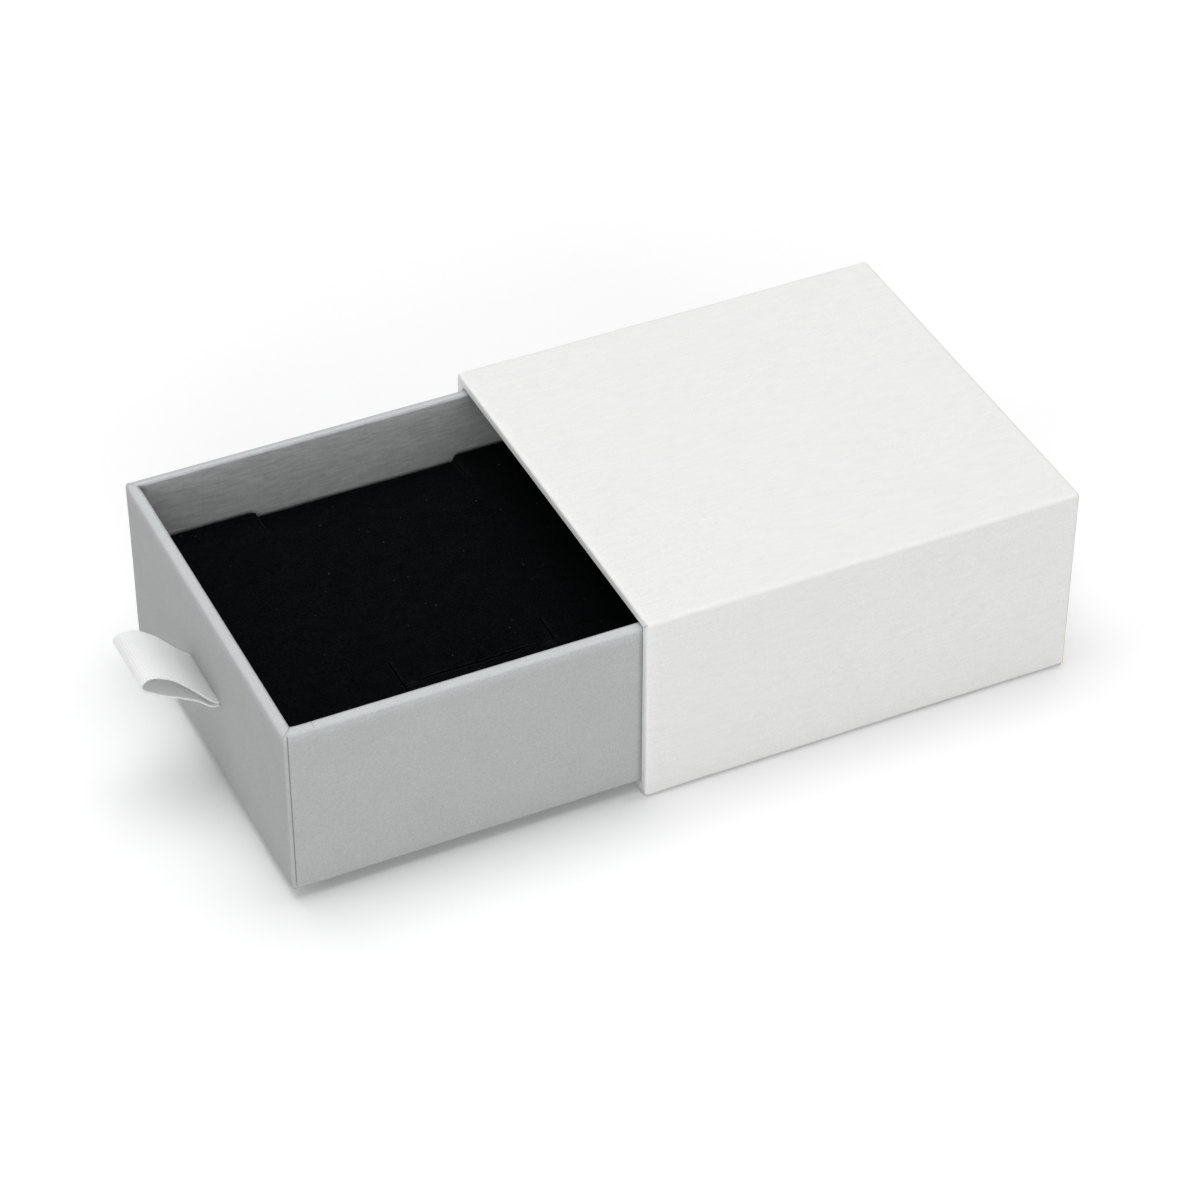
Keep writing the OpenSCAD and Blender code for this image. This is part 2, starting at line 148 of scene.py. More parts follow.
def loop_columns(stops_p, stops_q, corner_steps):
    """Columns of a loop round a rectangle in p and q, anticlockwise from the corner (-p, +q).
    Each has the corner signs of the side that it lies on, its outward direction and, on a straight
    side, its stop: a place along the side, or infinity at the side's ends."""
    columns, end = [], np.inf
    turns = np.radians(np.linspace(0, 90, corner_steps + 2)[1:-1])
    for start, way, stops in ((180, (0, -1), stops_q[::-1]), (270, (1, 0), stops_p),
                              (0, (0, 1), stops_q), (90, (-1, 0), stops_p[::-1])):
        out = np.round([math.cos(math.radians(start)), math.sin(math.radians(start))])
        forward = np.array(way)
        sign = forward.sum()
        for place in (-end * sign, *stops, end * sign):
            core = out + forward * sign * np.sign(place) if np.isinf(place) else out
            columns.append([*core, *out, place])
        for turn in turns:
            angle = math.radians(start) + turn
            columns.append([*(out + forward), math.cos(angle), math.sin(angle), end])
    columns.append(columns[0])
    return np.array(columns)


def near_mitre(columns, reach=0.3):
    """Mask of the columns near a corner's diagonal: 1 where the direction's two parts are equal,
    and 0 where they differ by the reach or more."""
    return np.clip(1 - abs(abs(columns[:, 2]) - abs(columns[:, 3])) / reach, 0, 1)


def carried_round(half, radius, columns, stops_scale=False):
    """Points (rows, columns, 2): each is a place on a core rectangle plus radius * direction. The
    core is the row's rectangle moved in by its corner radius. Stops are places in millimetres, kept
    within the core, or shares of it where stops_scale is true."""
    half, radius = np.asarray(half, float), np.asarray(radius, float)[:, None]
    core = half - radius
    signs, direction, stops = columns[:, :2], columns[:, 2:4], columns[:, 4]
    points = np.empty((len(half), len(columns), 2))
    straight = np.isfinite(stops)
    for axis in (0, 1):
        place = signs[None, :, axis] * core[:, axis, None]
        moving = straight & (direction[:, axis] == 0)
        limit = core[:, axis, None]
        along = stops[None, moving]
        place[:, moving] = along * limit if stops_scale else np.clip(along, -limit, limit)
        points[..., axis] = place + radius * direction[None, :, axis]
    return points

# %% [markdown]
# Paper is never dead flat: glue and board pull it into slow waves of a few hundredths of a
# millimetre. The next cell has those waves, the step that turns a grid into a mesh with its own UV
# map in millimetres, and the step that gives a sheet of paper its thickness. The thickness goes
# inwards, so the outside keeps the size that the CAD says.

# %% Tools: waves, meshes and thickness
WAVES, LONGEST_WAY, SHORTEST_WAY, WAVES_ADD_TO = 12, 0.6, 1.5, 4
WELD = 2e-7
SHARP_DEGREES = 40


def ripple(points, wavelength, height, seed):
    """Slow unevenness: the sum of twelve sine waves of about this wavelength, in random directions
    and phases, scaled to this height."""
    rng = np.random.default_rng(seed)
    ways = rng.normal(size=(3, WAVES))
    pace = rng.uniform(LONGEST_WAY, SHORTEST_WAY, WAVES)
    ways *= 2 * np.pi / wavelength / np.linalg.norm(ways, axis=0) * pace
    phases = rng.uniform(0, 2 * np.pi, WAVES)
    return height * np.sin(points @ ways + phases).sum(axis=-1) / WAVES_ADD_TO


def bell(distance, width):
    """Bell curve: 1 at no distance, 0.37 at the width, and near 0 at twice that."""
    return np.exp(-((distance / width) ** 2))


def ramp(value, start, end):
    """Smooth step: 0 before start, 1 after end, 3t^2 - 2t^3 between them."""
    t = np.clip((value - start) / (end - start), 0, 1)
    return t * t * (3 - 2 * t)


def grid_normals(points):
    """Outward directions: the cross product of the steps along the rows and along the columns,
    which run once round."""
    along = np.gradient(points, axis=0)
    loop = points[:, :-1]
    around = np.roll(loop, -1, axis=1) - np.roll(loop, 1, axis=1)
    around = np.concatenate([around, around[:, :1]], axis=1)
    normal = np.cross(along, around)
    return normal / np.maximum(np.linalg.norm(normal, axis=-1, keepdims=True), 1e-12)


def make_mesh(name, points, faces, uv=None, masks=None):
    """Object from points in millimetres, quads or larger faces, a UV pair and named masks for each
    point. Points that share a place are welded, which closes seams and drops flat-folded quads."""
    mesh = bpy.data.meshes.new(name)
    faces = [list(map(int, face)) for face in faces]
    mesh.from_pydata((points.reshape(-1, 3) * MM).tolist(), [], faces)
    corners = np.empty(len(mesh.loops), int)
    mesh.loops.foreach_get("vertex_index", corners)
    if uv is not None:
        layer = mesh.uv_layers.new(name="UVMap")
        layer.data.foreach_set("uv", uv.reshape(-1, 2)[corners].astype(np.float32).ravel())
    for title, values in (masks or {}).items():
        layer = mesh.attributes.new(title, "FLOAT", "POINT")
        layer.data.foreach_set("value", values.astype(np.float32).ravel())
    body = bmesh.new()
    body.from_mesh(mesh)
    bmesh.ops.remove_doubles(body, verts=body.verts, dist=WELD)
    body.to_mesh(mesh)
    body.free()
    mesh.polygons.foreach_set("use_smooth", np.ones(len(mesh.polygons), bool))
    return put(name, mesh)


def thicken(piece, thickness_mm, offset=-1):
    """Gives a sheet its thickness with Solidify, applies it, and keeps cut edges crisp. An offset
    of -1 grows inwards, and 0 to both sides alike."""
    solid = piece.modifiers.new("thickness", "SOLIDIFY")
    solid.thickness = thickness_mm * MM
    solid.offset = offset
    solid.use_quality_normals = True
    seen = bpy.context.evaluated_depsgraph_get()
    mesh = bpy.data.meshes.new_from_object(piece.evaluated_get(seen))
    piece.modifiers.clear()
    piece.data = mesh
    mesh.set_sharp_from_angle(angle=math.radians(SHARP_DEGREES))
    print(piece.name, len(mesh.polygons), "faces")

# %% [markdown]
# ## The sleeve's wrap
# One sheet of white paper covers the outside of the sleeve. At the mouth it turns over the board's
# edge and runs 12 mm inside; at the back it folds over the closing board. So its profile is a line
# of (place along X, distance in from the outer face), and that line is carried round the sleeve's
# rounded section. At each corner of the mouth the turned-in paper is mitred, which leaves a fine
# crease from the inner corner to the outer one; painted shade darkens that crease. The paper along
# the mouth's edge is painted paler, a painted highlight that lights the strip facing the drawer's
# front, and the paper at the back fold is a little paler too.

# %% Sleeve wrap: its shape
PAPER = 0.15
SLEEVE_WALL = 1.8
TURN_IN = 12
BACK_FLAP = 8
MOUTH_ROUND = 0.5
BACK_ROUND = 0.6
SLEEVE_CORNER, LEAST_CORNER, CORNER_SHRINK = 0.8, 0.3, 0.28
CORNER_STEPS = 7
MITRE_DEPTH, MITRE_REACH = 0.05, 3
CALM_FROM, CALM_TO = 0.5, 6
SLEEVE_WAVE = {"wavelength": 34, "height": 0.035, "seed": 5}
# widths of the paler paper at the mouth, which is a painted highlight, and at the back fold
MOUTH_HIGHLIGHT, BACK_PALE = 0.5, 0.4


def sleeve_wrap_grid():
    """The wrap's profile carried round a rounded rectangle. Its corner radius shrinks with the
    distance in from the outer face, and fine creases lie on the mouth's four mitres."""
    low, high, middle, half = box_mm("sleeve_cover_paper")
    mouth, back = low[0], high[0]
    inner = SLEEVE_WALL
    profile = np.concatenate([
        [[mouth + TURN_IN, inner]],
        run((mouth + TURN_IN, inner), (mouth + MOUTH_ROUND, inner), 14),
        quarter((mouth + MOUTH_ROUND, inner - MOUTH_ROUND), MOUTH_ROUND, 90, 8),
        run((mouth, inner - MOUTH_ROUND), (mouth, MOUTH_ROUND), 2),
        quarter((mouth + MOUTH_ROUND, MOUTH_ROUND), MOUTH_ROUND, 180, 8),
        run((mouth + MOUTH_ROUND, 0), (back - BACK_ROUND, 0), 48),
        quarter((back - BACK_ROUND, BACK_ROUND), BACK_ROUND, 270, 7),
        run((back, BACK_ROUND), (back, BACK_FLAP), 8),
        [[back, BACK_FLAP]],
    ])
    x, inset = profile.T
    radius = np.maximum(LEAST_CORNER, SLEEVE_CORNER - CORNER_SHRINK * inset)
    shares_high, shares_wide = np.linspace(-1, 1, 42)[1:-1], np.linspace(-1, 1, 66)[1:-1]
    columns = loop_columns(shares_high, shares_wide, CORNER_STEPS)
    section = carried_round(
        np.stack([half[2] - inset, half[1] - inset], axis=1), radius, columns, stops_scale=True
    )
    points = np.empty((*section.shape[:2], 3))
    points[..., 0] = x[:, None]
    points[..., 1] = section[..., 1] + middle[1]
    points[..., 2] = section[..., 0] + middle[2]

    at_mitre = np.isclose(abs(columns[:, 2]), abs(columns[:, 3]))
    at_edge = ramp(inset, 0, 0.3) * (x < mouth + MITRE_REACH)
    outward = grid_normals(points)
    points -= outward * (at_edge[:, None] * at_mitre[None] * MITRE_DEPTH)[..., None]
    # the waves die out at the sheet's ends and never stand proud of the outer face
    from_mouth = ramp(x, mouth + CALM_FROM, mouth + CALM_TO)
    from_back = ramp(-x, -back + CALM_FROM, -back + CALM_TO)
    calm = np.minimum(from_mouth, from_back) * (inset < 0.01)
    wave = ripple(points, **SLEEVE_WAVE) - SLEEVE_WAVE["height"]
    points += outward * (wave * calm[:, None])[..., None]

    uv = flat_map(path_length(profile), path_length(points[len(x) // 2]))
    # painted highlight: paler paper along the mouth's edge (the back fold is paler too); painted
    # shade: darker lines on the mouth's mitre creases
    edge = np.maximum(bell(x - mouth, MOUTH_HIGHLIGHT), bell(x - back, BACK_PALE) * (inset < 1))
    crease_shade = (at_edge * (inset < inner - 0.1))[:, None] * near_mitre(columns)[None]
    edge = np.broadcast_to(edge[:, None], points.shape[:2])
    return points, uv, {"edge": edge, "crease_shade": crease_shade}


sleeve_points, sleeve_uv, sleeve_masks = sleeve_wrap_grid()
sleeve_faces = grid_quads(*sleeve_points.shape[:2])
sleeve_wrap = make_mesh("sleeve_wrap", sleeve_points, sleeve_faces, sleeve_uv, sleeve_masks)
thicken(sleeve_wrap, PAPER)
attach(sleeve_wrap, "sleeve")
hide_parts("sleeve_cover_paper")

# %% [markdown]
# ## The drawer's wrap
# One grey sheet covers the drawer. It starts at the floor inside, climbs the wall, turns over
# the rim, runs down the outside and closes under the base. Its profile is a line of (distance in
# from the outer face, height), carried round the drawer's plan.
# A hand-made corner is never plain. The paper of the two ends laps 0.6 mm round each upright corner
# and stands a little proud there, and mitre creases cross the rim. On the near side the turned-in
# paper ends in a small step 5 mm from the corner, with a dip beside it, and the far corners have a
# nick inside the rim. Painted shade darkens the lap lines, the mitre creases, the step and the
# nicks.
# The front has the cut that the ribbon passes through, and painted shade makes the fine dark line
# along its upper lip, where the ribbon lifts the paper.

# %% Drawer wrap: its shape
DRAWER_WALL = 1.8
RIM_ROUND, RIM_INNER_ROUND, FOOT_ROUND = 0.5, 0.28, 0.4
RIM_STEPS, RIM_RUN, ROW_GAP = 7, 3, 1.3
DRAWER_CORNER, INNER_CORNER = 0.5, 0.15
BASE_BOARD_TOP, UNDER_FOOT = 1.65, 2.0
SIDE_STOPS, FRONT_STOPS = np.linspace(-33, 33, 45), np.linspace(-31, 31, 41)
CROWDED = 0.25
LAP, LAP_STEP, LAP_HEIGHT = 0.62, 0.05, 0.09
LAP_LINES = np.array([-0.13, 0, LAP_STEP + 0.03, 0.2])
TURN_STEP, TURN_HEIGHT, TURN_EDGE = 4.9, 0.07, 0.06
TURN_LINES = np.array([-0.14, 0, 0.12, 0.26])
DIP_AT, DIP_WIDE, DIP_HEIGHT = 2.0, 0.9, -0.14
NOTCH_DEEP, NOTCH_WIDE = 0.08, 0.38
DRAWER_WAVE = {"wavelength": 26, "height": 0.03, "seed": 11}
# widths of the rim's painted highlight inside and outside, and how much of it the far rim's outer
# half loses
RIM_HIGHLIGHT_IN, RIM_HIGHLIGHT_OUT, FAR_RIM_FADES = 0.3, 0.75, 0.6
SLIT_UP, SLIT_SHIFT, SLIT_WIDTH, SLIT_HEIGHT = 15.2, 0.8, 12.8, 0.84
SLIT_LIP = 0.15

drawer_low, drawer_high, drawer_middle, drawer_half = box_mm("drawer_cover_paper")
slit_y = SLIT_SHIFT + SLIT_WIDTH / 2 * np.array([-1, 1])
slit_z = drawer_low[2] + SLIT_UP + SLIT_HEIGHT / 2 * np.array([-1, 1])


def with_lines(regular, *lines):
    """Sorted stops: the regular ones, without those that crowd a special line, and the lines."""
    lines = np.unique(np.concatenate([np.atleast_1d(line) for line in lines]))
    far = abs(regular[:, None] - lines[None]).min(axis=1) > CROWDED
    return np.sort(np.concatenate([regular[far], lines]))


def drawer_wrap_grid():
    """The wrap's profile carried round the drawer's plan, with laps, mitres and steps set along the
    outward directions."""
    foot, rim = drawer_low[2], drawer_high[2]
    inner = DRAWER_WALL
    heights = with_lines(np.arange(foot + 2.2, rim - 1, ROW_GAP), slit_z, slit_z[1] + SLIT_LIP)
    profile = np.concatenate([
        [[inner, foot + BASE_BOARD_TOP]],
        np.stack([np.full(len(heights), inner), heights], axis=1),
        quarter((inner - RIM_INNER_ROUND, rim - RIM_INNER_ROUND), RIM_INNER_ROUND, 0, RIM_STEPS),
        run((inner - RIM_INNER_ROUND, rim), (RIM_ROUND, rim), RIM_RUN),
        quarter((RIM_ROUND, rim - RIM_ROUND), RIM_ROUND, 90, RIM_STEPS),
        np.stack([np.zeros(len(heights)), heights[::-1]], axis=1),
        quarter((FOOT_ROUND, foot + FOOT_ROUND), FOOT_ROUND, 180, 5),
        [[UNDER_FOOT, foot]],
    ])
    inset, z = profile.T
    outside = np.arange(len(z)) >= 1 + len(heights) + RIM_STEPS + RIM_RUN
    widening = INNER_CORNER + (DRAWER_CORNER - INNER_CORNER) * ramp(-inset, -inner, 0)
    radius = np.where(outside, DRAWER_CORNER, widening)
    laps = drawer_half[0] - LAP - LAP_LINES
    turns = drawer_half[0] - TURN_STEP - TURN_LINES
    stops_x = with_lines(SIDE_STOPS, laps, -laps, turns, -turns)
    stops_y = with_lines(FRONT_STOPS, slit_y - drawer_middle[1])
    columns = loop_columns(stops_x, stops_y, CORNER_STEPS)
    plan = carried_round(
        np.stack([drawer_half[0] - inset, drawer_half[1] - inset], axis=1), radius, columns
    )
    points = np.empty((*plan.shape[:2], 3))
    points[..., 0] = plan[..., 0] + drawer_middle[0]
    points[..., 1] = plan[..., 1] + drawer_middle[1]
    points[..., 2] = z[:, None]

    outward = grid_normals(points)
    from_end = drawer_half[0] - abs(plan[..., 0])
    side_facing = abs(columns[:, 3])[None]
    wall = (ramp(-inset, -0.5, -0.05) * (z > foot + FOOT_ROUND))[:, None]
    lap = LAP_HEIGHT * wall * side_facing * (from_end < LAP + LAP_STEP / 2)
    at_mitre = np.isclose(side_facing, abs(columns[:, 2])[None])
    on_rim = ramp(z, rim - 0.6, rim - 0.2)[:, None]
    mitre = -MITRE_DEPTH * on_rim * at_mitre
    turned = ((inset > 0.25) & (z > foot + 3))[:, None]
    near_side = (side_facing > 0.99) * (plan[..., 1] < 0)
    step = TURN_HEIGHT * turned * near_side * (from_end < TURN_STEP + TURN_EDGE)
    inner_face = (ramp(inset, 0.9, inner) * ramp(z, rim - 3.5, rim - 0.8))[:, None] * near_side
    dip = DIP_HEIGHT * inner_face * bell(from_end - inner - DIP_AT, DIP_WIDE)
    calm = (ramp(z, foot + 0.6, foot + 4) * ramp(-z, -rim + 0.3, -rim + 3))[:, None]
    wave = calm * ripple(points, **DRAWER_WAVE)
    from_inner = np.hypot(from_end - inner, drawer_half[1] - abs(plan[..., 1]) - inner)
    far_rim = (plan[..., 1] > 0) * ramp(z, rim - 1.5, rim - 0.5)[:, None]
    notch = bell(from_inner, NOTCH_WIDE) * far_rim
    points += outward * (lap + mitre + step + dip + wave)[..., None]
    points[..., 2] -= NOTCH_DEEP * notch

    uv = flat_map(path_length(profile), path_length(points[-4]))
    # painted highlight: the rim is paler where it faces up to the light, in a narrow line at its
    # inner edge and a wider band outside; the far rim's outer half is less pale
    from_rim = z - rim
    inner_half = inset > inner - RIM_ROUND
    rim_highlight = np.where(inner_half, bell(from_rim, RIM_HIGHLIGHT_IN), bell(from_rim, RIM_HIGHLIGHT_OUT))
    edge = rim_highlight[:, None] * (1 - FAR_RIM_FADES * (plan[..., 1] > drawer_half[1] - inner / 2))
    # mask of the inside, which the material darkens with painted shade and gives stronger streaks,
    # painted shade of the paper's ridges
    inside = np.broadcast_to((inset > inner - 0.3)[:, None] * 1.0, edge.shape)
    in_slit = abs(points[..., 1] - slit_y.mean()) < SLIT_WIDTH / 2 + 0.01
    on_lip = np.isclose(z, slit_z[1])[:, None] * (side_facing < 0.01) * (plan[..., 0] < 0)
    turn_line = bell(from_end - TURN_STEP - TURN_EDGE, 0.1)
    # painted shade: dark lines at the laps, on the rim's mitres, in the nicks, at the turned-in
    # step and along the slit's upper lip
    crease_shade = np.maximum.reduce([
        wall * (side_facing > 0.99) * np.interp(from_end, LAP + LAP_LINES, [0, 1, 1, 0]),
        0.8 * on_rim * near_mitre(columns)[None] * np.ones(edge.shape),
        notch,
        0.5 * turned * on_rim * near_side * turn_line,
        0.7 * on_lip * in_slit,
    ])
    return points, uv, {"edge": edge, "inside": inside, "crease_shade": crease_shade}


def outside_slit(points, faces):
    """Keeps the faces whose middle isn't in the ribbon's slit."""
    middle = points[faces].mean(axis=1)
    in_slit = (
        (middle[:, 0] < drawer_low[0] + 3)
        & (abs(middle[:, 1] - slit_y.mean()) < SLIT_WIDTH / 2)
        & (abs(middle[:, 2] - slit_z.mean()) < SLIT_HEIGHT / 2)
    )
    return faces[~in_slit]


drawer_points, drawer_uv, drawer_masks = drawer_wrap_grid()
drawer_flat = drawer_points.reshape(-1, 3)
drawer_faces = outside_slit(drawer_flat, grid_quads(*drawer_points.shape[:2])).tolist()
base_cap = np.arange(len(drawer_flat) - drawer_points.shape[1], len(drawer_flat) - 1)[::-1]
drawer_faces.append(base_cap.tolist())
drawer_wrap = make_mesh("drawer_wrap", drawer_flat, drawer_faces, drawer_uv, drawer_masks)
thicken(drawer_wrap, PAPER)
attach(drawer_wrap, "drawer")
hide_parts("drawer_cover_paper")

# %% [markdown]
# ## The ribbon
# The pull is one strip of ribbed white ribbon. It is folded in half, both ends go through the slit
# and are glued down inside. The middle line is worked out in the drawer's X and Z from four cubic
# curves, then swept across the ribbon's width. A real loop is never square to the box, so the fold
# leans: its near edge stands a little higher and further out than its far edge. The woven edges
# have tiny scallops.

# %% Ribbon: its shape
RIBBON_WIDTH, RIBBON_T, PLY_GAP = 12.6, 0.3, 0.04
REACH, CREST, TAIL = 12.0, 8.55, 8.5
PLIES_LOW = 0.08
PLIES_UP = SLIT_UP - PLIES_LOW
LEAN_UP, LEAN_OUT, CUP = 0.3, 0.05, -0.12
TAIL_SEAT = DRAWER_WALL + PLY_GAP
PLY_OFFSET = (RIBBON_T + PLY_GAP) / 2
RIBBON_ROW, EASING = 0.06, 4
EDGE_SHARES = [-1, -0.98, -0.95, 0.95, 0.98, 1]
SCALLOP, SCALLOP_STEP, WOVEN_FROM = 0.015, 0.55, 0.92
EDGE_WAVE = {"wavelength": 5, "height": 0.06, "seed": 3}


def curve(shares, offset, steps=40):
    """Cubic curve through (share of the reach, share of the crest) control points, moved up or
    down by the ply's offset at the slit: (1-t)^3 a + 3(1-t)^2 t b + 3(1-t) t^2 c + t^3 d."""
    shares = np.array(shares)
    control = np.stack([
        -shares[:, 0] * REACH, PLIES_UP + shares[:, 1] * CREST + offset * (1 - shares[:, 0])
    ], axis=1)
    t = np.linspace(0, 1, steps)[1:, None]
    a, b, c, d = control
    return (1 - t) ** 3 * a + 3 * (1 - t) ** 2 * t * b + 3 * (1 - t) * t**2 * c + t**3 * d


def spaced(line, gap):
    """The same line with points at one even gap."""
    length = path_length(line)
    even = np.linspace(0, length[-1], int(round(length[-1] / gap)) + 1)
    return np.stack([np.interp(even, length, part) for part in line.T], axis=1)


def smoothed(line, reach):
    """The line with its bends eased: each point becomes the mean of a window that narrows to
    nothing at both ends."""
    padded = np.concatenate([
        2 * line[:1] - line[reach:0:-1], line, 2 * line[-1:] - line[-2:-reach - 2:-1]
    ])
    weights = np.hanning(2 * reach + 3)[1:-1]
    weights /= weights.sum()
    return np.stack([np.convolve(part, weights, "valid") for part in padded.T], axis=1)


def ribbon_line():
    """Middle line of the ribbon in the drawer's X and Z, from one glued tail to the other."""
    tail_deep = TAIL_SEAT + 1.5 * RIBBON_T + PLY_GAP
    tail_near = TAIL_SEAT + RIBBON_T / 2
    upper_ply = PLIES_UP + PLY_OFFSET
    line = np.concatenate([
        [[tail_deep, PLIES_UP - TAIL], [tail_deep, upper_ply], [0, upper_ply]],
        curve([[0, 0], [0.2, 0.12], [0.5, 0.99], [0.875, 1]], PLY_OFFSET),
        curve([[0.875, 1], [0.97, 1], [1.07, 0.84], [0.896, 0.708]], 0),
        curve([[0.896, 0.708], [0.66, 0.48], [0.42, 0.38], [0.24, 0.18]], -PLY_OFFSET),
        curve([[0.24, 0.18], [0.15, 0.08], [0.1, -0.01], [0.02, -0.005]], -PLY_OFFSET, 16),
        [[tail_near, PLIES_UP - PLY_OFFSET], [tail_near, PLIES_UP - TAIL]],
    ])
    return smoothed(spaced(line, RIBBON_ROW), EASING)


def ribbon_grid():
    """The middle line swept across the width. The lean grows with the share of the reach, and the
    scallops move only the last half millimetre of each edge."""
    line = ribbon_line()
    length = path_length(line)
    shares = np.unique(np.append(np.linspace(-0.9, 0.9, 13), EDGE_SHARES))
    across = shares * RIBBON_WIDTH / 2
    out = np.clip(-line[:, :1] / REACH, 0, 1)
    side = across[None] / (RIBBON_WIDTH / 2)
    points = np.empty((len(line), len(across), 3))
    points[..., 0] = line[:, :1] + LEAN_OUT * out**1.5 * side
    points[..., 2] = line[:, 1:] - LEAN_UP * out**1.2 * side + CUP * out * (side**2 - 0.4)
    scallop = SCALLOP * np.sin(2 * np.pi * length / SCALLOP_STEP)
    scallop += ripple(np.stack([length, length * 0, length * 0], axis=1), **EDGE_WAVE)
    woven = side * ramp(abs(side), WOVEN_FROM, 1) * (out > 0)
    points[..., 1] = across[None] + SLIT_SHIFT + scallop[:, None] * woven
    points += [drawer_low[0], 0, drawer_low[2]]
    return points, flat_map(length, across), length[-1]


ribbon_points, ribbon_uv, ribbon_length = ribbon_grid()
ribbon_faces = grid_quads(*ribbon_points.shape[:2])
ribbon_loop = make_mesh("ribbon_loop", ribbon_points, ribbon_faces, ribbon_uv)
thicken(ribbon_loop, RIBBON_T, offset=0)
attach(ribbon_loop, "drawer")
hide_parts("ribbon_pull")
print("ribbon length:", round(ribbon_length, 1), "mm")

# %% [markdown]
# ## The velvet pad
# The pad is a foam block on a card, covered in black velvet that is turned under the card. Its face
# is a height field over X and Y: a slight crown, a long slit with a short cut across each end, and
# two slits that run in from the far edge, between which the face is pulled down. The field is a
# plain grid with extra lines where the slits need them. Loops of points take it over the edge, down
# the sides and under the card, so the whole cushion is one closed skin.

# %% Velvet pad: its shape
PAD_ROUND, PAD_CORNER, PAD_STEPS = 1.3, 0.9, 9
FACE_BORDER, BORDER_STEP = 3, 2.2
VELVET, CARD_UP, CARD_TOP, TURN_UNDER = 0.35, 0.6, 1.4, 8
CROWN, DIP_BETWEEN = 0.28, 1.15
PAD_WAVE = {"wavelength": 17, "height": 0.07, "seed": 21}
FLAP_UP, FLAP_DOWN, FLAP_WIDE = 0.4, 0.5, 0.9
FLAP_IN, FLAP_ASIDE = 1.1, -0.9
# roll and roundness of the slits' lips, and the width of their painted highlight
LIP_ROLL, LIP_ROUND, LIP_HIGHLIGHT_WIDTH = 0.22, 0.28, 0.32
SLITS_X = drawer_middle[0] + 1.2
LONG_SLIT, LONG_Y, CROSS_CUT, LONG_DEEP = 25, -18.3, 10, 9
EDGE_SLITS_APART, EDGE_SLIT, EDGE_DEEP = 34, 7, 6
SLIT_OPEN, SLIT_SLOPE = 0.17, 0.03
SLIT_FOOT = SLIT_OPEN - SLIT_SLOPE / 2
LIP_LINES = np.array([0.9, 0.55, 0.35, 0.24, SLIT_OPEN, SLIT_OPEN - SLIT_SLOPE])
LIP_LINES = np.concatenate([-LIP_LINES, LIP_LINES[::-1]])

pad_low, pad_high, pad_middle, pad_half = box_mm("pad_velvet")
long_ends = SLITS_X + LONG_SLIT / 2 * np.array([-1, 1])
cross_cut = LONG_Y + CROSS_CUT / 2 * np.array([-1, 1])
edge_x = SLITS_X + EDGE_SLITS_APART / 2 * np.array([-1, 1])
edge_end = pad_high[1] - EDGE_SLIT


def slit_distances(x, y):
    """Distance from each slit's middle line, with the slit's depth: the line's nearest point is
    found by keeping the place within the line's ends."""
    lines = [((long_ends[0], LONG_Y), (long_ends[1], LONG_Y), LONG_DEEP)]
    lines += [((end, cross_cut[0]), (end, cross_cut[1]), LONG_DEEP) for end in long_ends]
    lines += [((end, edge_end), (end, pad_high[1] + 1), EDGE_DEEP) for end in edge_x]
    for start, end, deep in lines:
        away = np.hypot(x - np.clip(x, start[0], end[0]), y - np.clip(y, start[1], end[1]))
        yield away, deep


def pad_face(x, y):
    """Height of the velvet: a crown, the dip between the edge slits, flaps lifted and pressed
    beside the ends of the long slit, rolled lips, and the slits themselves."""
    top = pad_high[2] - pad_low[2]
    share_x, share_y = (x - pad_middle[0]) / pad_half[0], (y - pad_middle[1]) / pad_half[1]
    height = top - CROWN * np.maximum(share_x**6, share_y**6)
    between = ramp(x, edge_x[0] - 0.2, edge_x[0] + 0.25)
    between = between * ramp(-x, -edge_x[1] - 0.6, -edge_x[1] + 0.6)
    height = height - DIP_BETWEEN * between * ramp(y, edge_end - 3, pad_high[1] - 2)
    height = height + ripple(np.stack([x, y, x * 0], axis=-1), **PAD_WAVE) - 0.05
    for end, inward in zip(long_ends, (1, -1)):
        lifted = bell(x - end - FLAP_IN * inward, 1.2) * bell(y - LONG_Y - FLAP_ASIDE, FLAP_WIDE)
        pressed = bell(x - end - 2.2 * inward, 1.6) * bell(y - LONG_Y - 0.8, FLAP_WIDE)
        height = height + FLAP_UP * lifted - FLAP_DOWN * pressed
    for away, deep in slit_distances(x, y):
        height = height - LIP_ROLL * bell(away - SLIT_OPEN, LIP_ROUND)
        height = np.where(away < SLIT_FOOT, np.minimum(height, top - deep), height)
    return height + pad_low[2]


